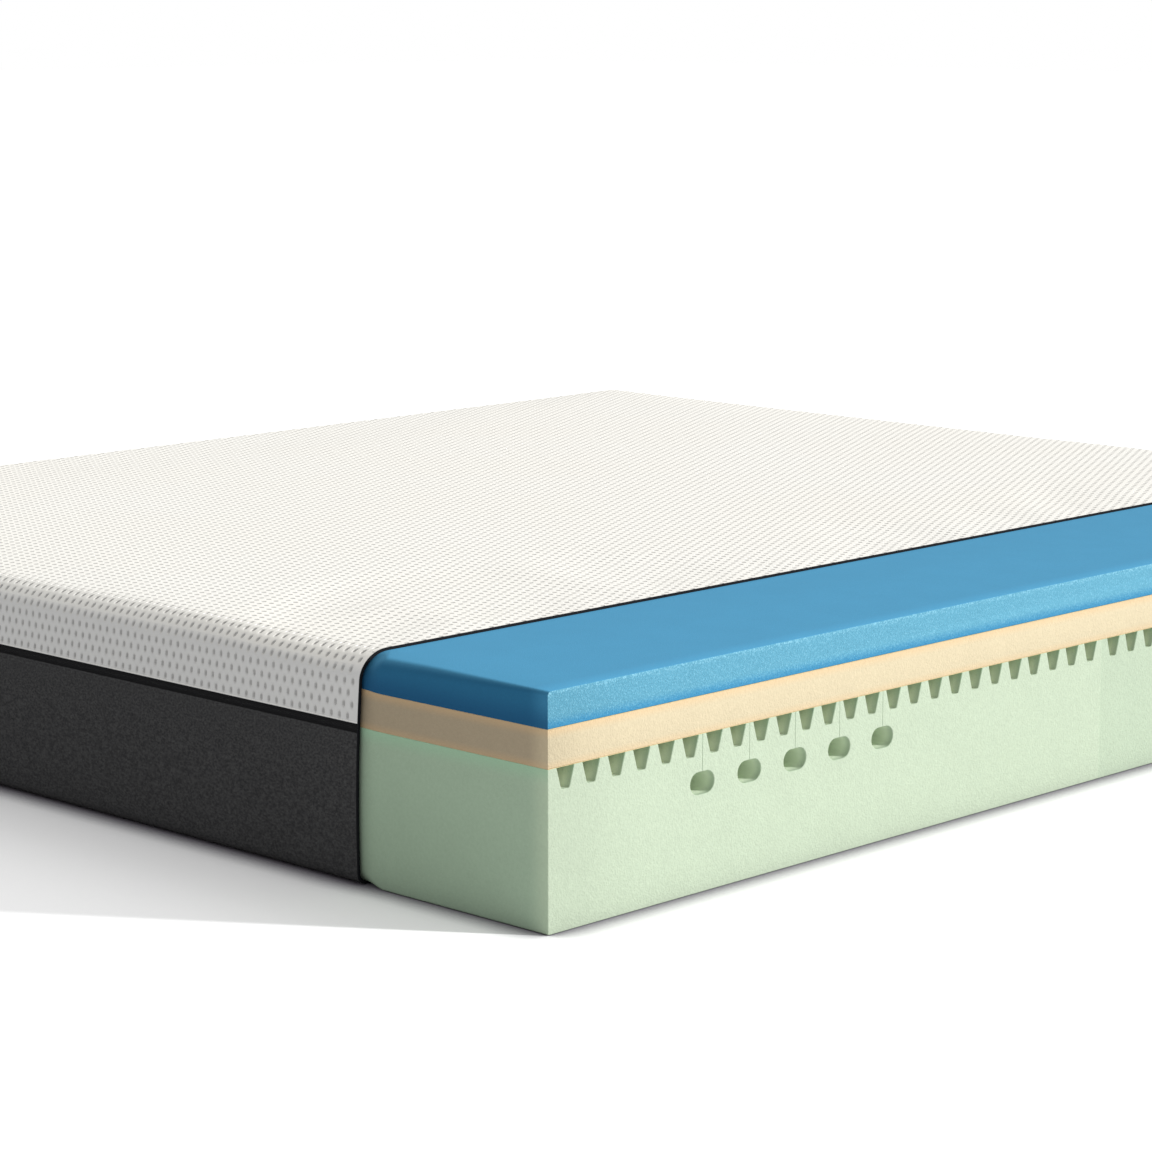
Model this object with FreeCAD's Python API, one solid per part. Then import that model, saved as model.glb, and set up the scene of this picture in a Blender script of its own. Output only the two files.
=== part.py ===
import FreeCAD, Part
import math
import os
from collections import namedtuple

# Memory foam mattress, 1800 x 2000 mm, shown part opened: the cover is cut back along one
# long side, so the glued foam core stands bare there.
# Frame: millimetres, +Z up, +Y along the length, origin at the middle of the underside.
# The bare long side faces +X, the closed zip side faces -X.

Vector = FreeCAD.Vector
os.makedirs("parts", exist_ok=True)

# ---------------------------------------------------------------- driving dimensions
width = 1800.0
length = 2000.0
height = 260.0
cover_cut_x = 610.6            # the cover ends here in a narrow black binding
binding_width = 3.0
bare_from_x = cover_cut_x + binding_width

corner_radius = 60.0           # cover's vertical corners, in plan
bulge_radius = 1894.0          # the sides are a shallow arc, widest at bulge_height
bulge_height = 70.0
top_round_width = 41.0         # how far the top edge rounds in, and down
top_round_drop = 34.0
foot_round_width = 13.0        # the same at the bottom edge
foot_round_rise = 12.0
under_edge = 44.0              # reach of the seam between side fabric and base panel
base_reach = 43.2

knit_thickness = 3.0           # top cover, a thick spacer knit
border_thickness = 2.0         # side fabric and base fabric
core_side_gap = 3.8            # foam face behind the cover's outer face, room for the zip
core_foot_rise = 20.0          # the foam's own rounded bottom edge

# the foam core, from the floor up
base_top = 176.8               # grooved base foam
cream_top = 218.8              # memory foam
covered_core_top = height - knit_thickness
bare_core_top = 259.0          # the comfort foam stands a little prouder where it is bare
bare_core_half = 993.5         # half length of the bare core
glue_thickness = 0.4

# grooves across the top of the base foam
groove_pitch = 38.65
groove_top_width = 26.0
groove_floor_width = 12.0
groove_depth = 24.0
first_groove = 26.2            # first groove's middle from the block's end
near_grooves = 25
block_joint_from_end = 978.0   # where the two base blocks are glued, from the bare end
joint_to_groove = 24.2         # from that joint to the next groove's middle
far_grooves = 26

# air channels under the lands of the shoulder zone
channel_width = 38.7
channel_height = 25.2
channel_middle_z = 122.0
channel_count = 5
first_channel_land = 5.5       # in groove pitches after the first groove
slit_width = 0.8
overcut = 1.0                  # how far a cutting bar goes past the foam's own face

# the zip
zip_bottom = 171.1
zip_top = 181.4
zip_gap = 1.2                  # between the two tape edges
tape_thickness = 0.7
tape_depth = 0.5               # tape face behind the cover's outer face
coil_thickness = 1.5
coil_height = 2.6
slider_rest_y = -900.0
stop_y = -912.0

# ---------------------------------------------------------------- where the side surface is
# Sections are drawn in (reach, z): reach is the distance out from a corner's vertical axis.
Quarter = namedtuple("Quarter", "middle side_end flat_end")
half_width = width / 2
half_length = length / 2
middle_x = -(half_width - corner_radius)
middle_y = half_length - corner_radius
zip_middle = (zip_bottom + zip_top) / 2
round_start_z = height - top_round_drop


def reach(z, depth=0.0):
    """Distance of the side surface from the corner's axis at height z, depth inside it."""
    radius = bulge_radius - depth
    return corner_radius - bulge_radius + math.sqrt(radius ** 2 - (z - bulge_height) ** 2)


def side_arc(z_from, z_to, depth):
    """Three points (reach, z) of the side surface."""
    z_middle = (z_from + z_to) / 2
    return [(reach(z, depth), z) for z in (z_from, z_middle, z_to)]


def top_quarter(depth, top):
    """The rounded top edge: a quarter ellipse from the side in to the flat top."""
    side_reach = reach(round_start_z, depth)
    middle = (side_reach - top_round_width + depth, round_start_z)
    return Quarter(middle, (side_reach, round_start_z), (middle[0], top))


def foot_quarter(depth):
    """The rounded bottom edge: a quarter ellipse from the side in to the underside."""
    side_reach = reach(foot_round_rise, depth)
    middle = (side_reach - foot_round_width + depth, foot_round_rise)
    return Quarter(middle, (side_reach, foot_round_rise), (middle[0], depth))


# ---------------------------------------------------------------- making rings and slabs
def outline_face(pieces, place):
    """A face from a closed run of pieces: a line, an arc through 3 points or a Quarter."""
    edges = []
    for piece in pieces:
        points = [place(reach_now, z) for reach_now, z in piece]
        if isinstance(piece, Quarter):
            middle, *ends = points
            ends.sort(key=lambda end: end.distanceToPoint(middle), reverse=True)
            ellipse = Part.Ellipse(ends[0], ends[1], middle)
            edges.append(Part.ArcOfEllipse(ellipse, 0, math.pi / 2).toShape())
        elif len(points) == 2:
            edges.append(Part.makeLine(points[0], points[1]))
        else:
            edges.append(Part.Arc(points[0], points[1], points[2]).toShape())
    return Part.Face(Part.Wire(edges))


def near_place(reach_now, z):
    return Vector(middle_x, -middle_y - reach_now, z)


def far_place(reach_now, z):
    return Vector(middle_x, middle_y + reach_now, z)


def side_place(reach_now, z):
    return Vector(middle_x - reach_now, -middle_y, z)


def side_end_place(reach_now, z):
    return Vector(middle_x - reach_now, middle_y, z)


def swept_round(pieces, x_end=cover_cut_x):
    """The section carried round the cover: near end, zip side and far end, with two corners."""
    run_x = Vector(x_end - middle_x, 0, 0)
    run_y = Vector(0, 2 * middle_y, 0)
    up = Vector(0, 0, 1)
    solids = [
        outline_face(pieces, near_place).extrude(run_x),
        outline_face(pieces, near_place).revolve(Vector(middle_x, -middle_y, 0), up, -90),
        outline_face(pieces, side_place).extrude(run_y),
        outline_face(pieces, side_end_place).revolve(Vector(middle_x, middle_y, 0), up, -90),
        outline_face(pieces, far_place).extrude(run_x),
    ]
    return solids[0].multiFuse(solids[1:]).removeSplitter()


def box(x0, x1, y0, y1, z0, z1):
    return Part.makeBox(x1 - x0, y1 - y0, z1 - z0, Vector(x0, y0, z0))


def filled_round(pieces, z_low, z_high, x_end=cover_cut_x, extras=()):
    """A swept section that starts at reach 0, with the middle filled in."""
    middle = box(middle_x, x_end, -middle_y, middle_y, z_low, z_high)
    return swept_round(pieces, x_end).multiFuse([middle, *extras]).removeSplitter()


def band(z_low, z_high, depth, thickness):
    """Section of a thin strip that follows the side surface."""
    outer = side_arc(z_low, z_high, depth)
    inner = side_arc(z_high, z_low, depth + thickness)
    return [outer, [outer[-1], inner[0]], inner, [inner[-1], outer[0]]]


def bare_box(z_low, z_high):
    """The bare part of a foam layer: a sawn block from the cover's edge to the +X side."""
    return box(bare_from_x, half_width, -bare_core_half, bare_core_half, z_low, z_high)


nodes = {}


# ---------------------------------------------------------------- foam core
def core_slice(z_low, z_high):
    """A flat layer of the core between two heights on the straight part of the side."""
    side = side_arc(z_low, z_high, core_side_gap)
    section = [
        [(0, z_low), side[0]],
        side,
        [side[-1], (0, z_high)],
        [(0, z_high), (0, z_low)],
    ]
    return filled_round(section, z_low, z_high, bare_from_x, [bare_box(z_low, z_high)])


def comfort_layer():
    z_low = cream_top + glue_thickness / 2
    side = side_arc(z_low, round_start_z, core_side_gap)
    edge = top_quarter(core_side_gap, covered_core_top)
    section = [
        [(0, z_low), side[0]],
        side,
        edge,
        [edge.flat_end, (0, covered_core_top)],
        [(0, covered_core_top), (0, z_low)],
    ]
    bare = bare_box(z_low, bare_core_top)
    return filled_round(section, z_low, covered_core_top, bare_from_x, [bare])


def groove_tool(y_middle):
    """A trapezoid bar along X that cuts one groove, a little proud of the foam's top."""
    flare = (groove_top_width - groove_floor_width) / 2 / groove_depth
    top_half = groove_top_width / 2 + flare * overcut
    floor_half = groove_floor_width / 2
    z_floor = base_foam_top - groove_depth
    z_over = base_foam_top + overcut
    corners = [(-floor_half, z_floor), (floor_half, z_floor), (top_half, z_over), (-top_half, z_over)]
    points = [Vector(-width, y_middle + y, z) for y, z in corners]
    profile = Part.Face(Part.makePolygon(points + points[:1]))
    return profile.extrude(Vector(2 * width, 0, 0))


def channel_tool(y_middle):
    """An air channel along X with rounded ends, and the slit that the saw came in by."""
    radius = channel_height / 2
    half_flat = channel_width / 2 - radius
    bars = [box(-width, width, y_middle - half_flat, y_middle + half_flat,
                channel_middle_z - radius, channel_middle_z + radius)]
    for side in (-half_flat, half_flat):
        start = Vector(-width, y_middle + side, channel_middle_z)
        bars.append(Part.makeCylinder(radius, 2 * width, start, Vector(1, 0, 0)))
    bars.append(box(-width, width, y_middle - slit_width / 2, y_middle + slit_width / 2,
                    channel_middle_z + radius - overcut, base_foam_top + overcut))
    return bars[0].multiFuse(bars[1:])


def base_foam():
    """The grooved base before it is split into its two blocks."""
    side = side_arc(core_foot_rise, base_foam_top, core_side_gap)
    foot_start = (under_edge, border_thickness)
    foot = Quarter((under_edge, core_foot_rise), side[0], foot_start)
    section = [
        [(0, border_thickness), foot_start],
        foot,
        side,
        [side[-1], (0, base_foam_top)],
        [(0, base_foam_top), (0, border_thickness)],
    ]
    bare = bare_box(0, base_foam_top)
    foam = filled_round(section, border_thickness, base_foam_top, bare_from_x, [bare])
    near_end = -bare_core_half
    joint_y = near_end + block_joint_from_end
    tools = [groove_tool(near_end + first_groove + i * groove_pitch) for i in range(near_grooves)]
    tools += [groove_tool(joint_y + joint_to_groove + i * groove_pitch) for i in range(far_grooves)]
    for i in range(channel_count):
        land = first_channel_land + 2 * i
        tools.append(channel_tool(near_end + first_groove + land * groove_pitch))
    return foam.cut(tools), joint_y


base_foam_top = base_top - glue_thickness / 2
foam, joint_y = base_foam()
half_glue = glue_thickness / 2


def foam_between(y_low, y_high):
    """The part of the grooved base between two places along the length."""
    return foam.common(box(-width, width, y_low, y_high, -overcut, height))


nodes["base_foam_shoulder_block"] = foam_between(-length, joint_y - half_glue)
nodes["base_foam_leg_block"] = foam_between(joint_y + half_glue, length)
nodes["base_joint_glue"] = foam_between(joint_y - half_glue, joint_y + half_glue)
nodes["lower_glue_film"] = core_slice(base_top - half_glue, base_top + half_glue)
nodes["cream_memory_layer"] = core_slice(base_top + half_glue, cream_top - half_glue)
nodes["upper_glue_film"] = core_slice(cream_top - half_glue, cream_top + half_glue)
nodes["blue_comfort_layer"] = comfort_layer()


# ---------------------------------------------------------------- cover
def knit_cover():
    """The white top: one piece of thick knit, over the top and down to the zip."""
    outer_top = top_quarter(0, height)
    inner_top = top_quarter(knit_thickness, covered_core_top)
    outer_side = side_arc(round_start_z, zip_top, 0)
    inner_side = side_arc(zip_top, round_start_z, knit_thickness)
    section = [
        [(0, height), outer_top.flat_end],
        outer_top,
        outer_side,
        [outer_side[-1], inner_side[0]],
        inner_side,
        inner_top,
        [inner_top.flat_end, (0, covered_core_top)],
        [(0, covered_core_top), (0, height)],
    ]
    return filled_round(section, covered_core_top, height)


def border():
    """The dark side fabric, from the zip down and round under the bottom edge."""
    outer_foot = foot_quarter(0)
    inner_foot = foot_quarter(border_thickness)
    outer_side = side_arc(zip_bottom, foot_round_rise, 0)
    inner_side = side_arc(foot_round_rise, zip_bottom, border_thickness)
    section = [
        outer_side,
        outer_foot,
        [outer_foot.flat_end, (under_edge, 0)],
        [(under_edge, 0), (under_edge, border_thickness)],
        [(under_edge, border_thickness), inner_foot.flat_end],
        inner_foot,
        inner_side,
        [inner_side[-1], outer_side[0]],
    ]
    return swept_round(section)


def flat_strip(reach_low, reach_high, z_low, z_high):
    corners = [(reach_low, z_low), (reach_high, z_low), (reach_high, z_high), (reach_low, z_high)]
    return [[corners[i], corners[(i + 1) % 4]] for i in range(4)]


base_thread_z = (0.5, 1.5)


def edge_binding():
    """The narrow black binding on the cover's cut edge, a closed loop round the core."""
    thick = border_thickness
    outer_top = top_quarter(0, height)
    inner_top = top_quarter(thick, height - thick)
    outer_foot = foot_quarter(0)
    inner_foot = foot_quarter(thick)
    section = [
        [(0, height), outer_top.flat_end],
        outer_top,
        side_arc(round_start_z, foot_round_rise, 0),
        outer_foot,
        [outer_foot.flat_end, (0, 0)],
        [(0, 0), (0, thick)],
        [(0, thick), inner_foot.flat_end],
        inner_foot,
        side_arc(foot_round_rise, round_start_z, thick),
        inner_top,
        [inner_top.flat_end, (0, height - thick)],
        [(0, height - thick), (0, height)],
    ]
    solids = [box(cover_cut_x, bare_from_x, -middle_y, middle_y, z, z + thick)
              for z in (0, height - thick)]
    for place in (near_place, far_place):
        end = outline_face(section, place).extrude(Vector(binding_width, 0, 0))
        end.translate(Vector(cover_cut_x - middle_x, 0, 0))
        solids.append(end)
    return solids[0].multiFuse(solids[1:]).removeSplitter()


nodes["knit_top_cover"] = knit_cover()
nodes["cut_edge_binding"] = edge_binding()
nodes["side_border"] = border()
nodes["base_panel"] = filled_round(flat_strip(0, base_reach, 0, border_thickness), 0, border_thickness)
nodes["base_seam_thread"] = swept_round(flat_strip(base_reach, under_edge, *base_thread_z))


# ---------------------------------------------------------------- zip, round the cover
stop_half_length = 2.0
stop_clear = 0.2


def stop_slot():
    """The short stretch of coil that the end stop takes the place of."""
    half_slot = stop_half_length + stop_clear
    return box(-width, 0, stop_y - half_slot, stop_y + half_slot, 0, height)


tape_low = zip_middle - zip_gap / 2
tape_high = zip_middle + zip_gap / 2
coil_depth = tape_depth + tape_thickness
nodes["lower_zip_tape"] = swept_round(band(zip_bottom, tape_low, tape_depth, tape_thickness))
nodes["upper_zip_tape"] = swept_round(band(tape_high, zip_top, tape_depth, tape_thickness))
lower_coil = swept_round(band(tape_low - coil_height, tape_low, coil_depth, coil_thickness))
upper_coil = swept_round(band(tape_high, tape_high + coil_height, coil_depth, coil_thickness))
nodes["lower_zip_coil"] = lower_coil.cut(stop_slot())
nodes["upper_zip_coil"] = upper_coil.cut(stop_slot())
thread_size = 0.8
lower_thread_z = zip_bottom + 0.1
upper_thread_z = zip_top - 0.1 - thread_size
nodes["lower_seam_thread"] = swept_round(
    band(lower_thread_z, lower_thread_z + thread_size, coil_depth, thread_size))
nodes["upper_seam_thread"] = swept_round(
    band(upper_thread_z, upper_thread_z + thread_size, coil_depth, thread_size))

# ---------------------------------------------------------------- zip slider, pull and stop
# They are drawn flat, with their outer side towards -X and the tape face at x = 0, and then
# leaned back to lie on the sloping side surface.
lean = math.asin((zip_middle - bulge_height) / bulge_radius)
tape_face_x = middle_x - reach(zip_middle, tape_depth)


def set_on_zip(shape, y):
    """Puts a fitting that was drawn flat at the origin on the zip at y."""
    shape.rotate(Vector(0, 0, 0), Vector(0, 1, 0), math.degrees(lean))
    shape.translate(Vector(tape_face_x, y, zip_middle))
    return shape


def corner_edges(shape, along, keep):
    """The edges of a block that run along one axis, where keep says so of their start."""
    found = []
    for edge in shape.Edges:
        start, end = (vertex.Point for vertex in edge.Vertexes)
        if abs((end - start).dot(along)) > edge.Length / 2 and keep(start):
            found.append(edge)
    return found


outward = Vector(1, 0, 0)
upward = Vector(0, 0, 1)
joined_by = 0.2                # how far pieces of one casting run into each other

slider_half_length = 7.0
slider_half_height = 4.9
slider_corner = 2.0
plate_thickness = 1.2
running_gap = 0.35             # front plate in front of the tapes
back_gap = 0.25                # back plate behind the coils
back_plate_thickness = 0.6
back_plate_half_length = 6.0
web_half_length = 3.5
web_thickness = 0.5
plate_outer = -running_gap - plate_thickness
plate_inner = tape_thickness + coil_thickness + back_gap

crown_rise = 3.0
crown_half_length = 4.2
crown_half_height = 1.1
crown_corner = 1.8
crown_roof = 0.9               # metal left over the crown's window
crown_leg = 1.1                # and at its two ends

pin_radius = 0.7
pin_x = plate_outer - 1.05
pull_tip = -27.0
pull_back = 0.6                # the fork reaches this far past the pin
pull_half_height = 2.8
pull_half_thickness = 0.6
pull_corner = 2.2
fork_floor = -7.2
fork_half_height = 1.5
grip_from = -24.0
grip_to = -12.0
grip_half_thickness = 0.9
grip_half_height = 1.6

stop_half_height = 3.4
stop_front = 0.9
stop_back = 1.0
stop_web_half_height = 0.45


def slider():
    """Two plates joined by a thin web between the coils, with a crown that holds the pull."""
    front = box(plate_outer, -running_gap, -slider_half_length, slider_half_length,
                -slider_half_height, slider_half_height)
    front = front.makeFillet(slider_corner, corner_edges(front, outward, lambda start: True))
    back = box(plate_inner, plate_inner + back_plate_thickness, -back_plate_half_length,
               back_plate_half_length, -slider_half_height, slider_half_height)
    web = box(-running_gap - joined_by, plate_inner + joined_by, -web_half_length, web_half_length,
              -web_thickness / 2, web_thickness / 2)
    crown_outer = plate_outer - crown_rise
    crown = box(crown_outer, plate_outer + joined_by, -crown_half_length, crown_half_length,
                -crown_half_height, crown_half_height)
    crown = crown.makeFillet(crown_corner, corner_edges(crown, upward, lambda start: start.x < plate_outer))
    window_half = crown_half_length - crown_leg
    window = box(crown_outer + crown_roof, plate_outer, -window_half, window_half,
                 -slider_half_height, slider_half_height)
    return front.multiFuse([back, web, crown.cut(window)]).removeSplitter()


def pull_tab():
    """A flat tab that lies along the zip, forked round a cross pin under the crown."""
    pin_foot = Vector(pin_x, 0, -pull_half_height)
    pin = Part.makeCylinder(pin_radius, 2 * pull_half_height, pin_foot, upward)
    tab = box(pin_x - pull_half_thickness, pin_x + pull_half_thickness, pull_tip, pull_back,
              -pull_half_height, pull_half_height)
    tab = tab.makeFillet(pull_corner, corner_edges(tab, outward, lambda start: start.y < fork_floor))
    fork = box(pin_x - grip_half_thickness, pin_x + grip_half_thickness, fork_floor, pull_back + overcut,
               -fork_half_height, fork_half_height)
    grip = box(pin_x - grip_half_thickness, pin_x + grip_half_thickness, grip_from, grip_to,
               -grip_half_height, grip_half_height)
    return tab.cut(fork).multiFuse([pin, grip]).removeSplitter()


def end_stop():
    """A small clip that ties both tape edges together where the zip's ends meet."""
    along = (-stop_half_length, stop_half_length)
    outer = box(-stop_front, 0, *along, -stop_half_height, stop_half_height)
    inner = box(tape_thickness, tape_thickness + stop_back, *along, -stop_half_height, stop_half_height)
    web = box(-joined_by, tape_thickness + joined_by, *along, -stop_web_half_height, stop_web_half_height)
    return outer.multiFuse([inner, web]).removeSplitter()


nodes["zip_slider"] = set_on_zip(slider(), slider_rest_y)
nodes["zip_pull_tab"] = set_on_zip(pull_tab(), slider_rest_y)
nodes["zip_end_stop"] = set_on_zip(end_stop(), stop_y)


# ---------------------------------------------------------------- care label
label_thickness = 0.4
label_clear = 0.5              # between the label and the side fabric
label_width = 34.0
label_y = 560.0
label_top = 168.0
label_foot = 112.0


def care_label():
    """A blank label hanging from the hem of the side fabric on the zip side."""
    top = middle_x - reach(label_top) - label_clear
    foot = middle_x - reach(label_foot) - label_clear
    corners = [(top, label_top), (foot, label_foot), (foot - label_thickness, label_foot),
               (top - label_thickness, label_top)]
    points = [Vector(x, label_y, z) for x, z in corners]
    return Part.Face(Part.makePolygon(points + points[:1])).extrude(Vector(0, label_width, 0))


nodes["care_label"] = care_label()

# ---------------------------------------------------------------- write the STEP files
total = 0.0
for name, shape in nodes.items():
    solids = shape.Solids
    result = solids[0] if len(solids) == 1 else Part.makeCompound(solids)
    result.exportStep(f"parts/{name}.step")
    volume = sum(s.Volume for s in solids) / 1e6
    total += volume
    bounds = result.optimalBoundingBox(True)
    print(f"{name:26s} solids {len(solids)} valid {result.isValid()} litres {volume:9.3f}  "
          f"x {bounds.XMin:8.1f} {bounds.XMax:8.1f}  y {bounds.YMin:8.1f} {bounds.YMax:8.1f}  "
          f"z {bounds.ZMin:6.2f} {bounds.ZMax:6.2f}")
print("pull hinge at", round(tape_face_x + pin_x * math.cos(lean), 3), slider_rest_y,
      round(zip_middle - pin_x * math.sin(lean), 3), "axis", round(math.sin(lean), 5), 0,
      round(math.cos(lean), 5))
print("litres in all", round(total, 2))
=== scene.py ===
# %% [markdown]
# # A memory foam mattress, opened along one side
# This notebook dresses a mattress that is already designed. The design, called the frame, says
# where every piece is. Here each soft piece gets its real surface, and each finish its cells,
# threads and loops. Everything is in metres, with +Z up and +Y along the mattress. The bare
# foam faces +X and the zip side faces -X.

import math

import bmesh
import bpy
import numpy as np
from collections import namedtuple
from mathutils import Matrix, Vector, geometry
from mathutils.bvhtree import BVHTree
from mathutils.interpolate import poly_3d_calc


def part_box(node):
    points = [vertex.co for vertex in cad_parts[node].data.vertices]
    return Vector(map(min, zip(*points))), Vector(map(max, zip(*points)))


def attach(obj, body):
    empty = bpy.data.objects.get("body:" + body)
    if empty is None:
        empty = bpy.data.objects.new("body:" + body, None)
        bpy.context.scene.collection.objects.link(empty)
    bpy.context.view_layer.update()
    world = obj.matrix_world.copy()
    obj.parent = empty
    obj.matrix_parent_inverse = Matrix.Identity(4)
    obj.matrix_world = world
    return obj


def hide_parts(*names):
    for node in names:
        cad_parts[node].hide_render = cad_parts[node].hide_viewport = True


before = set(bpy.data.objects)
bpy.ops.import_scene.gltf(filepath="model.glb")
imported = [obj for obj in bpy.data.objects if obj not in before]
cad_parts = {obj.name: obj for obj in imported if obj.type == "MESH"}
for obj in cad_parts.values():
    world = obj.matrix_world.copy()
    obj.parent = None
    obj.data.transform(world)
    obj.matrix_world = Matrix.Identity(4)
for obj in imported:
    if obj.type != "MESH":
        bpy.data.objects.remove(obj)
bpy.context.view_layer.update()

# %% [markdown]
# ## The camera and the light
# The camera stands low in front of the near bare corner with a long lens, so the long sides
# hardly converge. One low sun from the right lights the sawn side and grazes the top, and a
# soft white sky fills the shaded end. Three lamps could do the same, but a sun and a sky keep
# one clean shadow, which is how a product is lit on a white sheet.

# %% Camera
camera_place = Vector((3.254, -3.382, 0.969))
camera_look = Vector((-0.6853, 0.7075, -0.1731))
camera_lens = 104.3

camera_data = bpy.data.cameras.new("camera")
camera_data.lens = camera_lens
camera = bpy.data.objects.new("camera", camera_data)
camera.location = camera_place
camera.rotation_mode = "QUATERNION"
camera.rotation_quaternion = camera_look.to_track_quat("-Z", "Y")
bpy.context.scene.collection.objects.link(camera)
bpy.context.scene.camera = camera
bpy.context.scene.view_settings.view_transform = "Standard"
print("camera at", tuple(round(value, 2) for value in camera_place))

# %% Sun and sky
sun_bearing = Vector((0.81, 0.58, 0))
sun_height = math.radians(21)
sun_power = 4.45
sun_spread = math.radians(2.5)
sky_power = 0.59

sun_data = bpy.data.lights.new("sun", "SUN")
sun_data.energy = sun_power
sun_data.angle = sun_spread
sun = bpy.data.objects.new("sun", sun_data)
towards_sun = sun_bearing.normalized() * math.cos(sun_height)
towards_sun.z = math.sin(sun_height)
sun.rotation_mode = "QUATERNION"
sun.rotation_quaternion = towards_sun.to_track_quat("Z", "Y")
bpy.context.scene.collection.objects.link(sun)

world = bpy.data.worlds.new("white studio")
bpy.context.scene.world = world
world.use_nodes = True
sky = world.node_tree
sky_light = sky.nodes["Background"]
sky_light.inputs["Strength"].default_value = sky_power
sky_light.inputs["Color"].default_value = (1, 1, 1, 1)
sheet_white = sky.nodes.new("ShaderNodeBackground")
sheet_white.inputs["Color"].default_value = (1, 1, 1, 1)
sky_path = sky.nodes.new("ShaderNodeLightPath")
sky_choice = sky.nodes.new("ShaderNodeMixShader")
sky.links.new(sky_path.outputs["Is Camera Ray"], sky_choice.inputs[0])
sky.links.new(sky_light.outputs[0], sky_choice.inputs[1])
sky.links.new(sheet_white.outputs[0], sky_choice.inputs[2])
sky.links.new(sky_choice.outputs[0], sky.nodes["World Output"].inputs["Surface"])
print("sun", sun_power, "sky", sky_power)

# %% [markdown]
# ## A way to write finishes
# A finish is a tree of nodes. Wiring each node by hand hides the idea behind the wires, so a
# small class wraps a socket and lets sums be written as sums. Every other node is made by one
# method, which takes its type, its settings and what goes into its sockets.

# %% Wires and finishes
class Wire:
    """The output of a node, which can stand in a sum."""

    def __init__(self, finish, socket):
        self.finish = finish
        self.socket = socket

    def maths(self, operation, first, second):
        return self.finish.node("ShaderNodeMath", {"operation": operation}, {0: first, 1: second})

    def __add__(self, other):
        return self.maths("ADD", self, other)

    __radd__ = __add__

    def __sub__(self, other):
        return self.maths("SUBTRACT", self, other)

    def __rsub__(self, other):
        return self.maths("SUBTRACT", other, self)

    def __mul__(self, other):
        return self.maths("MULTIPLY", self, other)

    __rmul__ = __mul__

    def __truediv__(self, other):
        return self.maths("DIVIDE", self, other)

    def __lt__(self, other):
        return self.maths("LESS_THAN", self, other)

    def __gt__(self, other):
        return self.maths("GREATER_THAN", self, other)

    def __mod__(self, other):
        return self.maths("FLOORED_MODULO", self, other)


class Finish:
    """One finish: a Principled shader and the nodes that feed it."""

    def __init__(self, name, **steady):
        self.material = bpy.data.materials.new(name)
        self.material.use_nodes = True
        self.tree = self.material.node_tree
        self.shader = self.tree.nodes["Principled BSDF"]
        for socket, value in steady.items():
            self.shader.inputs[socket.replace("_", " ")].default_value = value

    def node(self, kind, settings=None, sockets=None, output=0):
        """Adds one node. Settings come first, because they decide which sockets it has."""
        made = self.tree.nodes.new(kind)
        for name, value in (settings or {}).items():
            if name == "stops":
                self.set_stops(made.color_ramp, value)
            else:
                setattr(made, name, value)
        for name, value in (sockets or {}).items():
            if isinstance(value, Wire):
                self.tree.links.new(value.socket, made.inputs[name])
            else:
                made.inputs[name].default_value = value
        return Wire(self, made.outputs[output])

    def set_stops(self, ramp, stops):
        while len(ramp.elements) < len(stops):
            ramp.elements.new(0.5)
        for element, (place, colour) in zip(ramp.elements, stops):
            element.position = place
            element.color = colour

    def feed(self, **links):
        for name, value in links.items():
            self.tree.links.new(value.socket, self.shader.inputs[name.replace("_", " ")])

    def place(self):
        """Where a point is on the piece, in metres, as x, y and z."""
        spot = self.node("ShaderNodeTexCoord", output="Object")
        return spot, [self.node("ShaderNodeSeparateXYZ", None, {0: spot}, axis) for axis in "XYZ"]

    def facing(self):
        """The direction that a surface faces, as x, y and z."""
        normal = self.node("ShaderNodeNewGeometry", output="Normal")
        return [self.node("ShaderNodeSeparateXYZ", None, {0: normal}, axis) for axis in "XYZ"]

    def ease(self, value, start, end):
        """Rises smoothly from 0 to 1 as value goes from start to end."""
        settings = {"interpolation_type": "SMOOTHSTEP"}
        return self.node("ShaderNodeMapRange", settings, {0: value, 1: start, 2: end})

    def noise(self, spot, grain, detail=2.0, **more):
        """Cloudy noise with spots of about grain metres, around 0.5."""
        return self.node("ShaderNodeTexNoise", None,
                         {"Vector": spot, "Scale": 1 / grain, "Detail": detail, **more})

    def stretched(self, spot, x=1.0, y=1.0, z=1.0):
        return self.node("ShaderNodeVectorMath", {"operation": "MULTIPLY"}, {0: spot, 1: (x, y, z)})

    def mix(self, factor, below, above, blend="MIX"):
        """Colour below where factor is 0 and above where it is 1."""
        settings = {"data_type": "RGBA", "blend_type": blend, "clamp_factor": True}
        return self.node("ShaderNodeMix", settings, {0: factor, 6: below, 7: above}, 2)

    def through(self, operation, value):
        """A value put through a sine, rounded down or made positive."""
        return self.node("ShaderNodeMath", {"operation": operation}, {0: value})

    def openness(self, distance):
        """How much of what lies within a distance is open: 1 in the clear, 0 in a corner."""
        return self.node("ShaderNodeAmbientOcclusion", {"samples": 8}, {"Distance": distance}, "AO")

    def spot(self):
        return self.place()[0]

    def bump(self, height, depth, under=None):
        """Relief of depth metres where height goes from 0 to 1."""
        sockets = {"Height": height, "Distance": depth, "Strength": 1.0}
        if under:
            sockets["Normal"] = under
        return self.node("ShaderNodeBump", None, sockets)


def colour(code):
    """The linear colour of a six-digit screen colour."""
    screen = [int(code[i:i + 2], 16) / 255 for i in (0, 2, 4)]
    linear = [part / 12.92 if part <= 0.04045 else ((part + 0.055) / 1.055) ** 2.4
              for part in screen]
    return (*linear, 1.0)


print("a mid grey is", tuple(round(part, 3) for part in colour("808080")))
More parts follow.
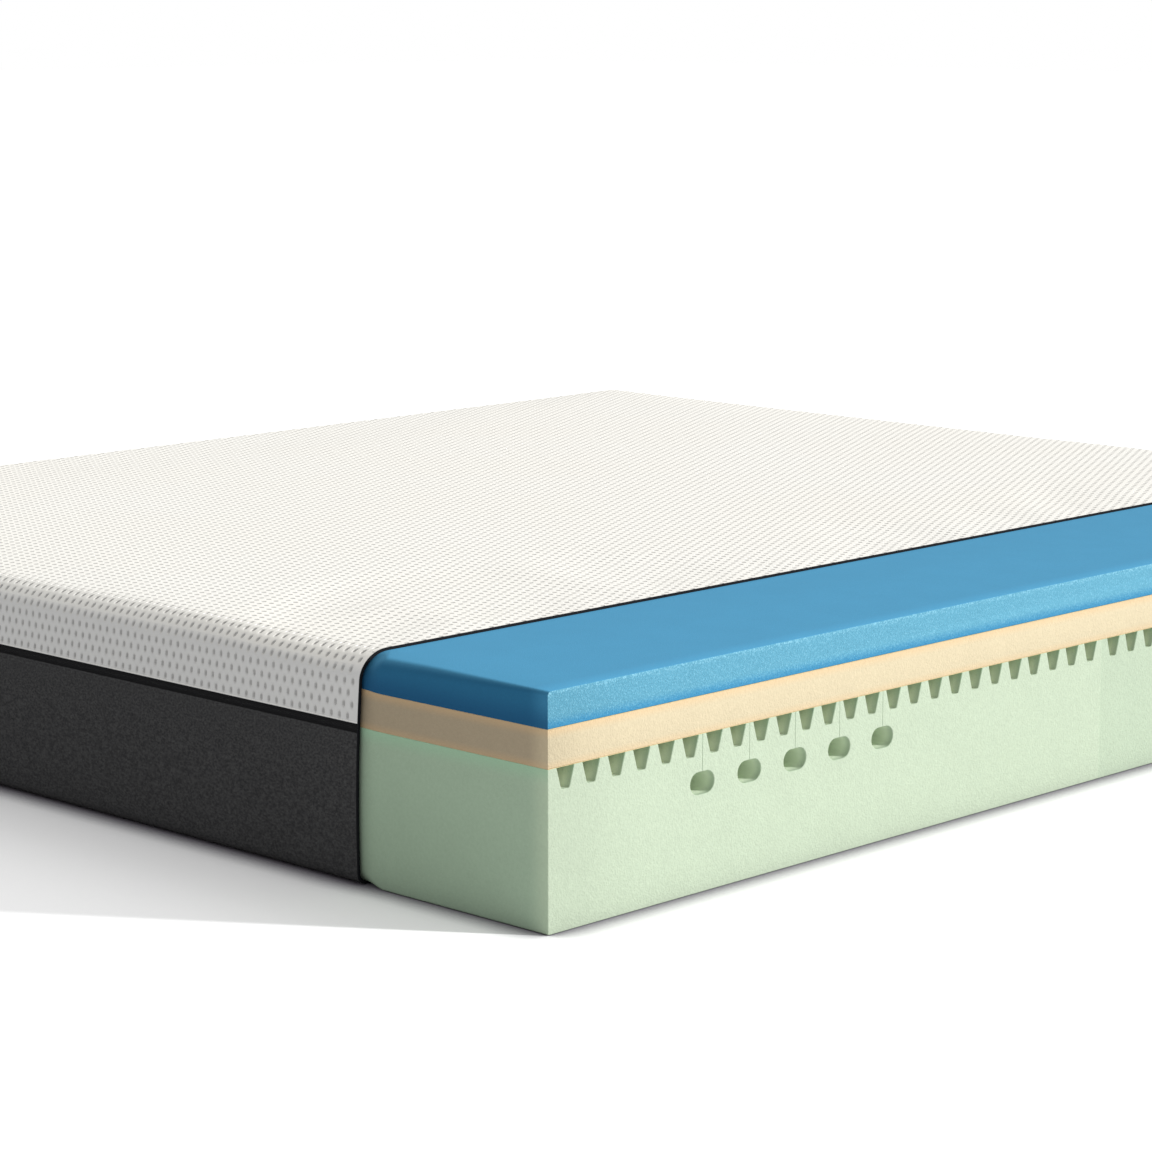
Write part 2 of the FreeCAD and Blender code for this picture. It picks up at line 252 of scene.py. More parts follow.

# %% [markdown]
# ## The floor
# A white sheet runs from under the mattress to the horizon. A little light of its own keeps it
# white where a grazing sun would leave it grey. Next to the mattress its colour is darkened as
# a painted contact shadow, and away from it a glow that only the camera sees fades the cast
# shadow out to white, which is painted light.

# %% Floor
floor_half = 30.0
floor_gap = 0.0006
floor_glow = 0.15
far_floor_glow = 0.23
far_reach = 0.8
contact_reach = 0.055
floor_finish = Finish("white floor", Roughness=1.0, Specular_IOR_Level=0.0)
floor_finish.shader.inputs["Emission Strength"].default_value = floor_glow + far_floor_glow
# Painted contact shadow: near the mattress the floor colour goes to a purple grey, and its glow is
# taken away.
openness = floor_finish.openness(contact_reach)
outside_painted_contact_shadow = floor_finish.ease(openness, 0.45, 0.95)
# Painted light: far from the mattress the floor glows more, for the camera only, fading the shadow
# out.
wide_openness = floor_finish.openness(far_reach)
seen_directly = floor_finish.node("ShaderNodeLightPath", None, {}, "Is Camera Ray")
painted_far_floor_light = floor_finish.ease(wide_openness, 0.68, 0.97) * seen_directly
near_light = floor_glow / (floor_glow + far_floor_glow)
painted_floor_glow = floor_finish.mix(painted_far_floor_light, (near_light, near_light, near_light, 1), colour("FFFFFF"))
floor_finish.feed(Base_Color=floor_finish.mix(outside_painted_contact_shadow, colour("807C84"), colour("F4F4F4")),
                  Emission_Color=floor_finish.mix(outside_painted_contact_shadow, colour("000000"), painted_floor_glow))
bpy.ops.mesh.primitive_plane_add(size=2 * floor_half, location=(0, 0, -floor_gap))
floor = bpy.context.object
floor.name = "floor"
floor.data.materials.append(floor_finish.material)
print("floor half size", floor_half)

# %% [markdown]
# ## The shape that all the layers share
# Cover and foam follow one side surface: a shallow arc that is widest near the floor and a
# rounded edge at the top. It runs along one end, round a corner, along the zip side, round the
# other corner and back. A section is drawn in reach and height. Reach is the distance out from
# a corner's upright axis, so the same section serves the straights and the corners.

# %% Sizes read from the frame
knit_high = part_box("knit_top_cover")[1]
border_low, border_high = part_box("side_border")
binding_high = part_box("cut_edge_binding")[1]
cream_low, cream_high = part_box("cream_memory_layer")
blue_low, blue_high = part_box("blue_comfort_layer")
base_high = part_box("base_foam_shoulder_block")[1]

height = knit_high.z
binding_overlap = 0.0013
cut_x = knit_high.x + binding_overlap
bare_x = binding_high.x
sawn_x = blue_high.x
bare_half = blue_high.y
corner_radius = 0.060
axis_x = border_low.x + corner_radius
axis_y = border_high.y - corner_radius
bulge_radius = 1.894
bulge_height = 0.070
top_round_width = 0.041
top_round_drop = 0.034
foot_round_width = 0.013
foot_round_rise = 0.012
under_edge = 0.044
knit_thickness = 0.003
border_thickness = 0.002
core_gap = 0.0038
core_foot_rise = 0.020
round_start_z = height - top_round_drop
zip_low, zip_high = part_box("lower_zip_tape")[0].z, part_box("upper_zip_tape")[1].z
print(f"height {height:.3f}, cut at {cut_x:.4f}, bare from {bare_x:.4f} to {sawn_x:.3f}")


def reach(z, depth=0.0):
    """Distance of the side surface from a corner's axis at height z, depth inside it."""
    radius = bulge_radius - depth
    return corner_radius - bulge_radius + math.sqrt(radius ** 2 - (z - bulge_height) ** 2)


def quarter(middle, side_width, rise, start, end, count):
    """Points of a quarter ellipse about a middle, between two angles given in quarters."""
    angles = [math.radians(90) * (start + (end - start) * i / count) for i in range(count + 1)]
    return [(middle[0] + side_width * math.cos(a), middle[1] + rise * math.sin(a)) for a in angles]


# %% A section that knows its own length
class Section:
    """A line in (reach, z) that can be asked for a point at any distance along it."""

    def __init__(self, points):
        self.points = np.array(points)
        steps = np.diff(self.points, axis=0)
        lengths = np.hypot(steps[:, 0], steps[:, 1])
        self.distance = np.concatenate([[0], np.cumsum(lengths)])
        self.length = self.distance[-1]
        tangents = np.gradient(self.points, self.distance, axis=0)
        self.normals = np.stack([tangents[:, 1], -tangents[:, 0]], axis=1)
        self.normals /= np.linalg.norm(self.normals, axis=1)[:, None]

    def at(self, along, depth=0.0):
        """(reach, z) at a distance along the line, depth metres inside it."""
        point = [np.interp(along, self.distance, self.points[:, k]) for k in (0, 1)]
        normal = [np.interp(along, self.distance, self.normals[:, k]) for k in (0, 1)]
        return point[0] - depth * normal[0], point[1] - depth * normal[1]


def side_points(z_from, z_to, depth=0.0, count=24):
    heights = np.linspace(z_from, z_to, count + 1)
    return [(reach(z, depth), z) for z in heights]


side_reach = reach(round_start_z)
top_edge = quarter((side_reach - top_round_width, round_start_z), top_round_width,
                   top_round_drop, 0, 1, 40)
knit_section = Section(side_points(zip_high, round_start_z) + top_edge[1:])
print(f"the knit rises {knit_section.length * 1000:.1f} mm from the zip to the flat top")

# %% Round the cover
Post = namedtuple("Post", "x y out_x out_y")
near_run = cut_x - axis_x
corner_run = corner_radius * math.pi / 2
side_run = 2 * axis_y
path_length = 2 * near_run + 2 * corner_run + side_run


def post_at(along):
    """The axis point and outward direction at a distance round the cover, from its near cut."""
    if along <= near_run:
        return Post(cut_x - along, -axis_y, 0.0, -1.0)
    along -= near_run
    if along <= corner_run:
        turn = along / corner_radius
        return Post(axis_x, -axis_y, -math.sin(turn), -math.cos(turn))
    along -= corner_run
    if along <= side_run:
        return Post(axis_x, -axis_y + along, -1.0, 0.0)
    along -= side_run
    if along <= corner_run:
        turn = along / corner_radius
        return Post(axis_x, axis_y, -math.cos(turn), math.sin(turn))
    return Post(axis_x + along - corner_run, axis_y, 0.0, 1.0)


def set_out(post, out, z):
    return (post.x + post.out_x * out, post.y + post.out_y * out, z)


print(f"round the cover it is {path_length:.3f} m")

# %% Making a piece from points and faces
tiny = 1e-5


def make_piece(name, points, faces, smooth_below=40, weld=True):
    """A new mesh piece, welded, facing outwards, and smooth except at edges sharper than this."""
    mesh = bpy.data.meshes.new(name)
    mesh.from_pydata([tuple(point) for point in points], [], faces)
    piece = bpy.data.objects.new(name, mesh)
    bpy.context.scene.collection.objects.link(piece)
    if weld:
        shape = bmesh.new()
        shape.from_mesh(mesh)
        bmesh.ops.remove_doubles(shape, verts=shape.verts, dist=tiny)
        bmesh.ops.dissolve_degenerate(shape, edges=shape.edges, dist=tiny)
        bmesh.ops.recalc_face_normals(shape, faces=shape.faces)
        shape.to_mesh(mesh)
        shape.free()
    smooth_piece(piece, smooth_below)
    return piece


def face_outwards(piece):
    shape = bmesh.new()
    shape.from_mesh(piece.data)
    bmesh.ops.recalc_face_normals(shape, faces=shape.faces)
    shape.to_mesh(piece.data)
    shape.free()


def smooth_piece(piece, smooth_below=40):
    piece.data.polygons.foreach_set("use_smooth", [True] * len(piece.data.polygons))
    piece.data.set_sharp_from_angle(angle=math.radians(smooth_below))
    piece.data.update()


def place_piece(piece, finish, slot, *nodes, body="mattress"):
    """Gives a piece its finish, its body, and the frame's pieces that it stands for."""
    piece.data.materials.clear()
    piece.data.materials.append(finish.material)
    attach(piece, body)
    if nodes:
        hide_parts(*nodes)
    triangles = sum(len(face.vertices) - 2 for face in piece.data.polygons)
    print(f"{piece.name}: {triangles} triangles")


# %% [markdown]
# ## The foam core
# The core is three foams glued flat on each other. Where the cover is on, they follow its
# rounded side. Where they are bare, the saw has left square edges, but the foam next to the cut
# is still drawn in by the tight cover, and it relaxes over a few centimetres. A box with a
# bevel would miss that, so each layer is lofted: a section for every station along the end.

# %% How the bare foam relaxes away from the cover
relax_run = 0.034
pinch_depth = 0.0022
pinch_run = 0.045


def smooth_step(value):
    value = min(max(value, 0.0), 1.0)
    return value * value * (3 - 2 * value)


def relaxed(x):
    """0 where the cover holds the foam, 1 where it has its sawn shape."""
    return smooth_step((x - bare_x) / relax_run)


def foam_reach(x, z):
    """How far out the foam's end face is at a station x."""
    held = reach(z, core_gap)
    free = bare_half - axis_y
    towards_cut = max(0.0, 1 - abs(x - bare_x) / pinch_run)
    return held + (free - held) * relaxed(x) - pinch_depth * towards_cut ** 2


def foam_stations():
    """Stations in x from the sawn face back, close together where the foam bends."""
    fine = list(np.linspace(bare_x, bare_x + relax_run, 15))
    free = list(np.linspace(bare_x + relax_run, sawn_x, 10)[1:])
    hidden = list(np.linspace(axis_x, bare_x - pinch_run, 11))
    hidden += list(np.linspace(bare_x - pinch_run, bare_x, 8)[1:-1])
    return (hidden + fine + free)[::-1]


foam_xs = foam_stations()
foam_ys = list(np.linspace(-axis_y, axis_y, 14))
foam_corner_steps = 8
print(len(foam_xs), "stations along each end")


# %% Lofting one layer
def foam_posts():
    near = [Post(x, -axis_y, 0.0, -1.0) for x in foam_xs]
    turns = [math.radians(90) * k / foam_corner_steps for k in range(1, foam_corner_steps)]
    first = [Post(axis_x, -axis_y, -math.sin(t), -math.cos(t)) for t in turns]
    side = [Post(axis_x, y, -1.0, 0.0) for y in foam_ys]
    second = [Post(axis_x, axis_y, -math.cos(t), math.sin(t)) for t in turns]
    far = [Post(x, axis_y, 0.0, 1.0) for x in foam_xs[::-1]]
    return near + first + side + second + far


def foam_layer(name, edge_at):
    """A closed layer. edge_at gives its edge at a station as (reach, z), from low to high."""
    points = []
    faces = []
    posts = foam_posts()
    edges = [edge_at(post.x) for post in posts]
    ring = len(edges[0]) + 2
    for post, edge in zip(posts, edges):
        chain = [(0.0, edge[0][1]), *edge, (0.0, edge[-1][1])]
        points += [set_out(post, out, z) for out, z in chain]
    for i in range(len(posts) - 1):
        for k in range(ring - 1):
            a = i * ring + k
            faces.append((a, a + 1, a + 1 + ring, a + ring))
    caps = []
    for level in (0, -1):
        start = len(points)
        points += [(x, y, edge_at(x)[level][1]) for x in foam_xs for y in foam_ys]
        row = len(foam_ys)
        for i in range(len(foam_xs) - 1):
            for k in range(row - 1):
                a = start + i * row + k
                faces.append((a, a + 1, a + 1 + row, a + row))
        caps.append([start + k for k in range(row)])
    near_end = list(range(ring))
    far_end = list(range((len(posts) - 1) * ring, len(posts) * ring))
    faces.append(near_end[:-1] + caps[1] + far_end[::-1][1:-1] + caps[0][::-1])
    return make_piece(name, points, faces)


def round_sawn_edges(piece, size, segments=2, skip=None):
    """A small round on every edge of the sawn face, apart from those that skip picks."""
    shape = bmesh.new()
    shape.from_mesh(piece.data)
    rim = [edge for edge in shape.edges
           if all(abs(v.co.x - sawn_x) < tiny for v in edge.verts)
           and edge.calc_face_angle(0) > 0.6]
    if skip:
        rim = [edge for edge in rim if not all(skip(v.co) for v in edge.verts)]
    bmesh.ops.bevel(shape, geom=rim, offset=size, segments=segments, profile=0.5,
                    affect="EDGES", clamp_overlap=True)
    shape.to_mesh(piece.data)
    shape.free()
    smooth_piece(piece)


# %% The edges of the three foams and two glue films
bare_top = blue_high.z
covered_top = height - knit_thickness
base_top = base_high.z
sharp_top_round = 0.005
soft_top_round = 0.016
rise_run = 0.12
held_foot_round = 0.012
bare_foot_round = 0.002


def plain_edge(z_low, z_high, inset=0.0):
    heights = np.linspace(z_low, z_high, 4)
    return lambda x: [(foam_reach(x, z) - inset, z) for z in heights]


def blue_edge(x):
    """The comfort foam's edge, with a top round that gets tighter away from the cover."""
    free = relaxed(x)
    along = min(max((x - bare_x - relax_run) / (sawn_x - bare_x - relax_run), 0.0), 1.0)
    free_round = soft_top_round + (sharp_top_round - soft_top_round) * along
    held_width = top_round_width - core_gap
    held_drop = covered_top - round_start_z
    width = held_width + (free_round - held_width) * free
    drop = held_drop + (free_round - held_drop) * free
    top = covered_top + (bare_top - covered_top) * smooth_step((x - bare_x) / rise_run)
    side = [(foam_reach(x, z), z) for z in np.linspace(blue_low.z, top - drop, 5)]
    middle = (side[-1][0] - width, top - drop)
    return side + quarter(middle, width, drop, 0, 1, 9)[1:]


def base_edge(x):
    """The base foam's edge, rounded at the foot where the cover turns under."""
    free = relaxed(x)
    low = border_thickness * (1 - free)
    foot_width = held_foot_round + (bare_foot_round - held_foot_round) * free
    covered_rise = core_foot_rise - border_thickness
    foot_rise = covered_rise + (bare_foot_round - covered_rise) * free
    out = foam_reach(x, low + foot_rise)
    foot = quarter((out - foot_width, low + foot_rise), foot_width, foot_rise, -1, 0, 6)
    return foot + [(foam_reach(x, z), z) for z in np.linspace(low + foot_rise, base_top, 6)[1:]]


blue_foam = foam_layer("blue_comfort_foam", blue_edge)
round_sawn_edges(blue_foam, 0.0012)
cream_foam = foam_layer("cream_memory_foam", plain_edge(cream_low.z, cream_high.z))
round_sawn_edges(cream_foam, 0.0008)
film_inset = 0.0004
lower_film = foam_layer("lower_glue_line", plain_edge(base_top, cream_low.z, film_inset))
upper_film = foam_layer("upper_glue_line", plain_edge(cream_high.z, blue_low.z, film_inset))
base_foam = foam_layer("base_foam_whole", base_edge)
print("comfort foam top", round(bare_top, 4), "base foam top", round(base_top, 4))

# %% [markdown]
# ## Grooves and air channels
# The base foam is grooved across its top, so that it bends and breathes, and five air channels
# under the shoulders are cut with a hot wire that came in through a slit. They are real
# openings, so they are cut with a boolean from bars of their own outline.

# %% Groove and channel bars
groove_pitch = 0.03865
groove_top = 0.026
groove_floor = 0.012
groove_depth = 0.024
first_groove = 0.0262
near_grooves = 25
joint_from_end = 0.978
joint_to_groove = 0.0242
far_grooves = 26
channel_width = 0.0387
channel_height = 0.0252
channel_z = 0.122
channel_count = 5
first_channel_land = 5.5
slit_width = 0.0006
near_end_y = -bare_half
joint_y = near_end_y + joint_from_end


def bar(outline):
    """Points and faces of a bar through the whole base, from an outline in (y, z)."""
    far_out = 1.2
    points = [(x, y, z) for x in (-far_out, far_out) for y, z in outline]
    count = len(outline)
    faces = [tuple(range(count)), tuple(range(2 * count - 1, count - 1, -1))]
    for k in range(count):
        after = (k + 1) % count
        faces.append((k, after, count + after, count + k))
    return points, faces


def groove_outline(y):
    over = 0.001
    flare = (groove_top - groove_floor) / 2 / groove_depth * over
    top_half = groove_top / 2 + flare
    floor_half_width = groove_floor / 2
    floor_z = base_top - groove_depth
    soft = 0.0012
    return [
        (y - floor_half_width - soft * 0.25, floor_z + soft),
        (y - floor_half_width + soft, floor_z),
        (y + floor_half_width - soft, floor_z),
        (y + floor_half_width + soft * 0.25, floor_z + soft),
        (y + top_half, base_top + over), (y - top_half, base_top + over),
    ]


def channel_outline(y):
    """A round-ended slot under a land, with the wire's slit up to the top."""
    radius = channel_height / 2
    half_flat = channel_width / 2 - radius
    slit = slit_width / 2
    turn = [math.radians(180) * k / 14 for k in range(15)]
    right = [(y + half_flat + radius * math.sin(t), channel_z + radius * math.cos(t)) for t in turn]
    left = [(y - half_flat - radius * math.sin(t), channel_z - radius * math.cos(t)) for t in turn]
    over = base_top + 0.001
    return [(y + slit, over), (y + slit, channel_z + radius), *right, *left,
            (y - slit, channel_z + radius), (y - slit, over)]


def cut_bars(outlines):
    points = []
    faces = []
    for outline in outlines:
        start = len(points)
        new_points, new_faces = bar(outline)
        points += new_points
        faces += [tuple(start + k for k in face) for face in new_faces]
    return make_piece("bars", points, faces, weld=False)


grooves = [near_end_y + first_groove + i * groove_pitch for i in range(near_grooves)]
grooves += [joint_y + joint_to_groove + i * groove_pitch for i in range(far_grooves)]
channels = [near_end_y + first_groove + (first_channel_land + 2 * i) * groove_pitch
            for i in range(channel_count)]
bars = cut_bars([groove_outline(y) for y in grooves] + [channel_outline(y) for y in channels])
face_outwards(bars)
print(len(grooves), "grooves and", len(channels), "channels")


# %% Cutting the grooves and parting the two blocks
def apply_modifiers(piece):
    """Bakes a piece's modifiers into its own mesh."""
    graph = bpy.context.evaluated_depsgraph_get()
    done = bpy.data.meshes.new_from_object(piece.evaluated_get(graph))
    piece.modifiers.clear()
    piece.data = done


cut = base_foam.modifiers.new("grooves", "BOOLEAN")
cut.operation = "DIFFERENCE"
cut.solver = "EXACT"
cut.object = bars
apply_modifiers(base_foam)
bpy.data.objects.remove(bars)


def part_block(name, keep_y, side):
    """The part of the base foam on one side of a plane across it, closed with a flat face."""
    shape = bmesh.new()
    shape.from_mesh(base_foam.data)
    everything = [*shape.verts, *shape.edges, *shape.faces]
    bmesh.ops.bisect_plane(shape, geom=everything, plane_co=(0, keep_y, 0),
                           plane_no=(0, side, 0), clear_outer=True)
    rim = [edge for edge in shape.edges if edge.is_boundary]
    bmesh.ops.holes_fill(shape, edges=rim, sides=0)
    bmesh.ops.recalc_face_normals(shape, faces=shape.faces)
    mesh = bpy.data.meshes.new(name)
    shape.to_mesh(mesh)
    shape.free()
    block = bpy.data.objects.new(name, mesh)
    bpy.context.scene.collection.objects.link(block)
    round_sawn_edges(block, 0.0006, 1, is_crisp)
    return block


half_joint_glue = 0.0002
crisp = 0.001


def is_crisp(place):
    """True on the joint between the blocks and on the wire's slits, which have no round."""
    on_slit = any(abs(place.y - y) < crisp for y in channels) and place.z > channel_z
    return on_slit or abs(place.y - joint_y) < crisp


shoulder_foam = part_block("shoulder_base_foam", joint_y - half_joint_glue, 1)
leg_foam = part_block("leg_base_foam", joint_y + half_joint_glue, -1)
bpy.data.objects.remove(base_foam)
print("faces in the blocks", len(shoulder_foam.data.polygons), len(leg_foam.data.polygons))

# %% [markdown]
# ## Foam finishes
# Foam is a froth of cells of about a millimetre. A moulded or trimmed face is matt and even,
# and a sawn face shows torn cells, which catch the light and look paler. Both come from one
# recipe: cloudy noise for the colour, small round cells for the relief, and a paler tone where
# the surface faces the saw. The end in the shade takes a darker copy of the colour, which is
# painted shade. It is darker still by the cut, as painted shade, and lighter in a band by the
# near edge, as painted light. The sawn side is darker by the near corner, as painted shade.

# %% Foam recipe
cut_shade_from = -0.008
cut_shade_to = 0.026
cut_shade = 0.74
sawn_light_width = 0.032
corner_shade_width = 0.15
corner_shade_share = 0.4
corner_shade = 0.78
lively_range = 0.2
cell_relief = 0.00036


def grey(value):
    return (value, value, value, 1)


def foam_finish(name, skin, sawn, shaded_end_colour, sparkle, cell=0.0022, edge_light=0.6):
    """skin is the top colour and sawn the long sawn side. The end in the shade takes a darker copy,
    which is painted shade, and edge_light is how much painted light lifts it by the near edge.
    """
    finish = Finish(name, Roughness=0.95, Specular_IOR_Level=0.15)
    spot, (x, y, z) = finish.place()
    facing_x, facing_y, facing_z = finish.facing()
    on_saw = finish.ease(facing_x, 0.55, 0.9)
    on_end = finish.ease(0 - facing_y, 0.2, 0.95)
    mottle = finish.noise(spot, cell * 1.6, 4.0, Roughness=0.65)
    cloud = finish.noise(spot, 0.05, 2.0)
    cells = finish.node("ShaderNodeTexVoronoi", {"feature": "F1"},
                        {"Vector": spot, "Scale": 1 / cell, "Randomness": 1.0})
    # Painted shade: the end face darkens over the last few centimetres by the cut.
    painted_shade_by_cut = 1 - finish.ease(x, bare_x + cut_shade_from, bare_x + cut_shade_to)
    # Painted light: a lighter band on the end face by the near edge, for light coming round the
    # corner.
    painted_light_by_edge = finish.ease(x, sawn_x - sawn_light_width, sawn_x)
    # The end face takes the darker shaded copy of the colour, as painted shade, lifted by the
    # painted edge light.
    shaded_end_tone = finish.mix(painted_light_by_edge * edge_light, shaded_end_colour, skin)
    shaded_end_tone = finish.mix(painted_shade_by_cut, shaded_end_tone, grey(cut_shade), "MULTIPLY")
    # Painted shade: the sawn side darkens towards the near corner.
    painted_shade_by_corner = 1 - finish.ease(y, -bare_half, corner_shade_width - bare_half)
    sawn_tone = finish.mix(painted_shade_by_corner * corner_shade_share, sawn, grey(corner_shade),
                           "MULTIPLY")
    tone = finish.mix(on_end, skin, shaded_end_tone)
    tone = finish.mix(on_saw, tone, sawn_tone)
    lively = (mottle - 0.5) * (0.5 + on_saw * sparkle) + (cloud - 0.5) * 0.16 + 0.5
    tone = finish.mix(lively, finish.mix(1.0, tone, grey(1 - lively_range), "MULTIPLY"),
                      finish.mix(1.0, tone, grey(1 + lively_range), "MULTIPLY"))
    relief = finish.bump(cells * (0.35 + on_saw * (1 + sparkle) * 0.65), cell_relief)
    finish.feed(Normal=relief)
    return finish, tone, (x, y, z), (on_saw, on_end), mottle


def near_line(finish, z, level, width):
    """1 at a height and 0 a width away from it."""
    distance = finish.through("ABSOLUTE", z - level)
    return 1 - finish.ease(distance, 0.0, width)


# %% Green base foam
def green_finish(name, sawn, skin):
    # The third colour, 95A993, is the darker copy for the shaded end: painted shade.
    finish, tone, (x, y, z), (on_saw, on_end), mottle = foam_finish(
        name, skin, sawn, colour("95A993"), 0.3, 0.0024, 0.85)
    inside_end = finish.through("ABSOLUTE", y) < bare_half - 0.004
    # Painted light: the walls inside the grooves and channels are lightened against the shade in
    # them.
    deep = finish.ease(sawn_x - x, 0.0004, 0.012)
    inner = deep * inside_end * (1 - on_saw) * (z > 0.05)
    tone = finish.mix(inner * 0.85, tone, colour("DAE6CE"))
    under_cream = near_line(finish, z, base_top, 0.020) * on_end
    tone = finish.mix(under_cream * 0.5, tone, colour("8FB898"))
    finish.feed(Base_Color=tone)
    return finish


green_shoulder = green_finish("green foam, shoulder block", colour("A3AF9B"), colour("A9BAA1"))
green_leg = green_finish("green foam, leg block", colour("9EAB97"), colour("A5B69D"))
place_piece(shoulder_foam, green_shoulder, "green_foam", "base_foam_shoulder_block")
place_piece(leg_foam, green_leg, "green_foam", "base_foam_leg_block")

# %% Cream memory foam
# The third colour, 9A8D77, is the darker copy for the shaded end: painted shade.
cream, cream_tone, (x, y, z), (on_saw, on_end), mottle = foam_finish(
    "cream memory foam", colour("BEB093"), colour("B7AB90"), colour("9A8D77"), 0.3)
rims = near_line(cream, z, cream_high.z, 0.012) + near_line(cream, z, cream_low.z, 0.010) * 0.7
cream_tone = cream.mix(rims * 0.38, cream_tone, colour("C9A374"))
cream.feed(Base_Color=cream_tone)
place_piece(cream_foam, cream, "cream_foam", "cream_memory_layer")

# %% Blue comfort foam
# The third colour, 215D80, is the darker copy for the shaded end: painted shade.
blue, blue_tone, (x, y, z), (on_saw, on_end), mottle = foam_finish(
    "blue comfort foam", colour("4E97BD"), colour("5792A9"), colour("215D80"), 0.9, 0.0013, 0.3)
foot_line = near_line(blue, z + (mottle - 0.5) * 0.012, blue_low.z, 0.014)
blue_tone = blue.mix(foot_line * on_saw * 0.8, blue_tone, colour("2A749E"))
# Painted shade: the end face darkens towards the bottom of the layer.
painted_end_shade_at_foot = near_line(blue, z, blue_low.z, 0.03) * on_end
blue_tone = blue.mix(painted_end_shade_at_foot * 0.7, blue_tone, colour("13456B"))
# Painted highlight: a bright speckled line along the top edge of the sawn face.
painted_rim_highlight = near_line(blue, z, bare_top - 0.002, 0.005) * on_saw * blue.ease(mottle, 0.45, 0.62)
# Painted glints: bright specks of torn cells on the sawn face.
painted_glints = blue.ease(mottle, 0.50, 0.68) * on_saw * (1 - foot_line)
blue_tone = blue.mix(painted_glints * 0.16, blue_tone, colour("A6D3E0"))
blue_tone = blue.mix(painted_rim_highlight * 0.22, blue_tone, colour("A9DCEB"))
blue.feed(Base_Color=blue_tone)
place_piece(blue_foam, blue, "blue_foam", "blue_comfort_layer")

# %% Glue lines
glue_grain = 0.004
glue = Finish("glue line", Base_Color=colour("C9B27C"), Roughness=0.6)
glue_flow = glue.noise(glue.spot(), glue_grain)
glue.feed(Base_Color=glue.mix(glue_flow, colour("B29A66"), colour("D8C79A")),
          Roughness=glue_flow * 0.5 + 0.3)
place_piece(lower_film, glue, "glue", "lower_glue_film")
place_piece(upper_film, glue, "glue", "upper_glue_film")


def refinish(node, finish):
    """A better finish on a piece of the frame that keeps its shape."""
    for material_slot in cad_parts[node].material_slots:
        material_slot.material = finish.material


joint_glue = Finish("pale glue in the block joint", Roughness=0.8)
joint_flow = joint_glue.noise(joint_glue.spot(), glue_grain)
joint_glue.feed(Base_Color=joint_glue.mix(joint_flow, colour("8FA389"), colour("A2B59B")))
refinish("base_joint_glue", joint_glue)
print("the joint between the two base blocks is glued too")

# %% [markdown]
# ## How the cover settles
# A sewn cover is never drum tight. It is cut a little full, so it lies on the foam in shallow
# swells between its seams. Drawing them by hand looks like waves, so a coarse net of the cover
# is run as cloth: it is pinned at the zip, the foot and the cut, grows by a fraction of a
# percent, and is held up by a light pressure. The fine pieces then borrow the net's movement.
# It is cut off at a millimetre, which most of the net reaches, so the cap decides how far the
# cover stands off the foam.

# %% A net over the cover
net_step = 0.045
net_growth = 0.006
net_frames = 22
net_pressure = 0.6
most_swell = 0.0010


def net_alongs():
    """Places for the net's columns round the cover."""
    columns = round(near_run / net_step)
    side_columns = round(side_run / net_step)
    runs = [(near_run, columns), (corner_run, 4), (side_run, side_columns), (corner_run, 4),
            (near_run, columns)]
    places = [0.0]
    for run, count in runs:
        places += list(places[-1] + np.linspace(0, run, count + 1)[1:])
    return places


def cover_net(name, section, rows, with_top):
    """An open sheet: a section carried round the cover, closed over the top if it is the knit."""
    points = []
    faces = []
    held = []
    alongs = net_alongs()
    ups = list(np.linspace(0, section.length, rows + 1))
    for i, along in enumerate(alongs):
        for k, up in enumerate(ups):
            out, z = section.at(up)
            points.append(set_out(post_at(along), out, z))
            edge = k == 0 or i in (0, len(alongs) - 1) or (k == rows and not with_top)
            held.append(edge)
    row = rows + 1
    for i in range(len(alongs) - 1):
        for k in range(rows):
            a = i * row + k
            faces.append((a, a + row, a + row + 1, a + 1))
    if with_top:
        add_net_top(points, faces, held, alongs, row)
    return make_piece(name, points, faces, 180, weld=False), held


def add_net_top(points, faces, held, alongs, row):
    """Fills the flat top of a net with a grid of points."""
    rim = [i * row + row - 1 for i in range(len(alongs))]
    lines = round(2 * axis_y / net_step)
    for k in range(1, lines):
        rim.append(len(points))
        share = 1 - 2 * k / lines
        points.append((cut_x, share * (points[rim[len(alongs) - 1]][1]), height))
        held.append(True)
    inner = []
    for x in np.arange(axis_x + net_step / 2, cut_x - net_step / 2, net_step):
        for y in np.arange(-axis_y + net_step / 2, axis_y, net_step):
            inner.append(Vector((x, y)))
    flat = [Vector(points[index][:2]) for index in rim]
    ring = [(k, (k + 1) % len(rim)) for k in range(len(rim))]
    found = geometry.delaunay_2d_cdt(flat + inner, ring, [], 1, tiny)
    index_of = []
    for place, sources in zip(found[0], found[3]):
        known = [source for source in sources if source < len(rim)]
        if known:
            index_of.append(rim[known[0]])
        else:
            index_of.append(len(points))
            points.append((place.x, place.y, height))
            held.append(False)
    faces += [tuple(index_of[k] for k in face) for face in found[2]]


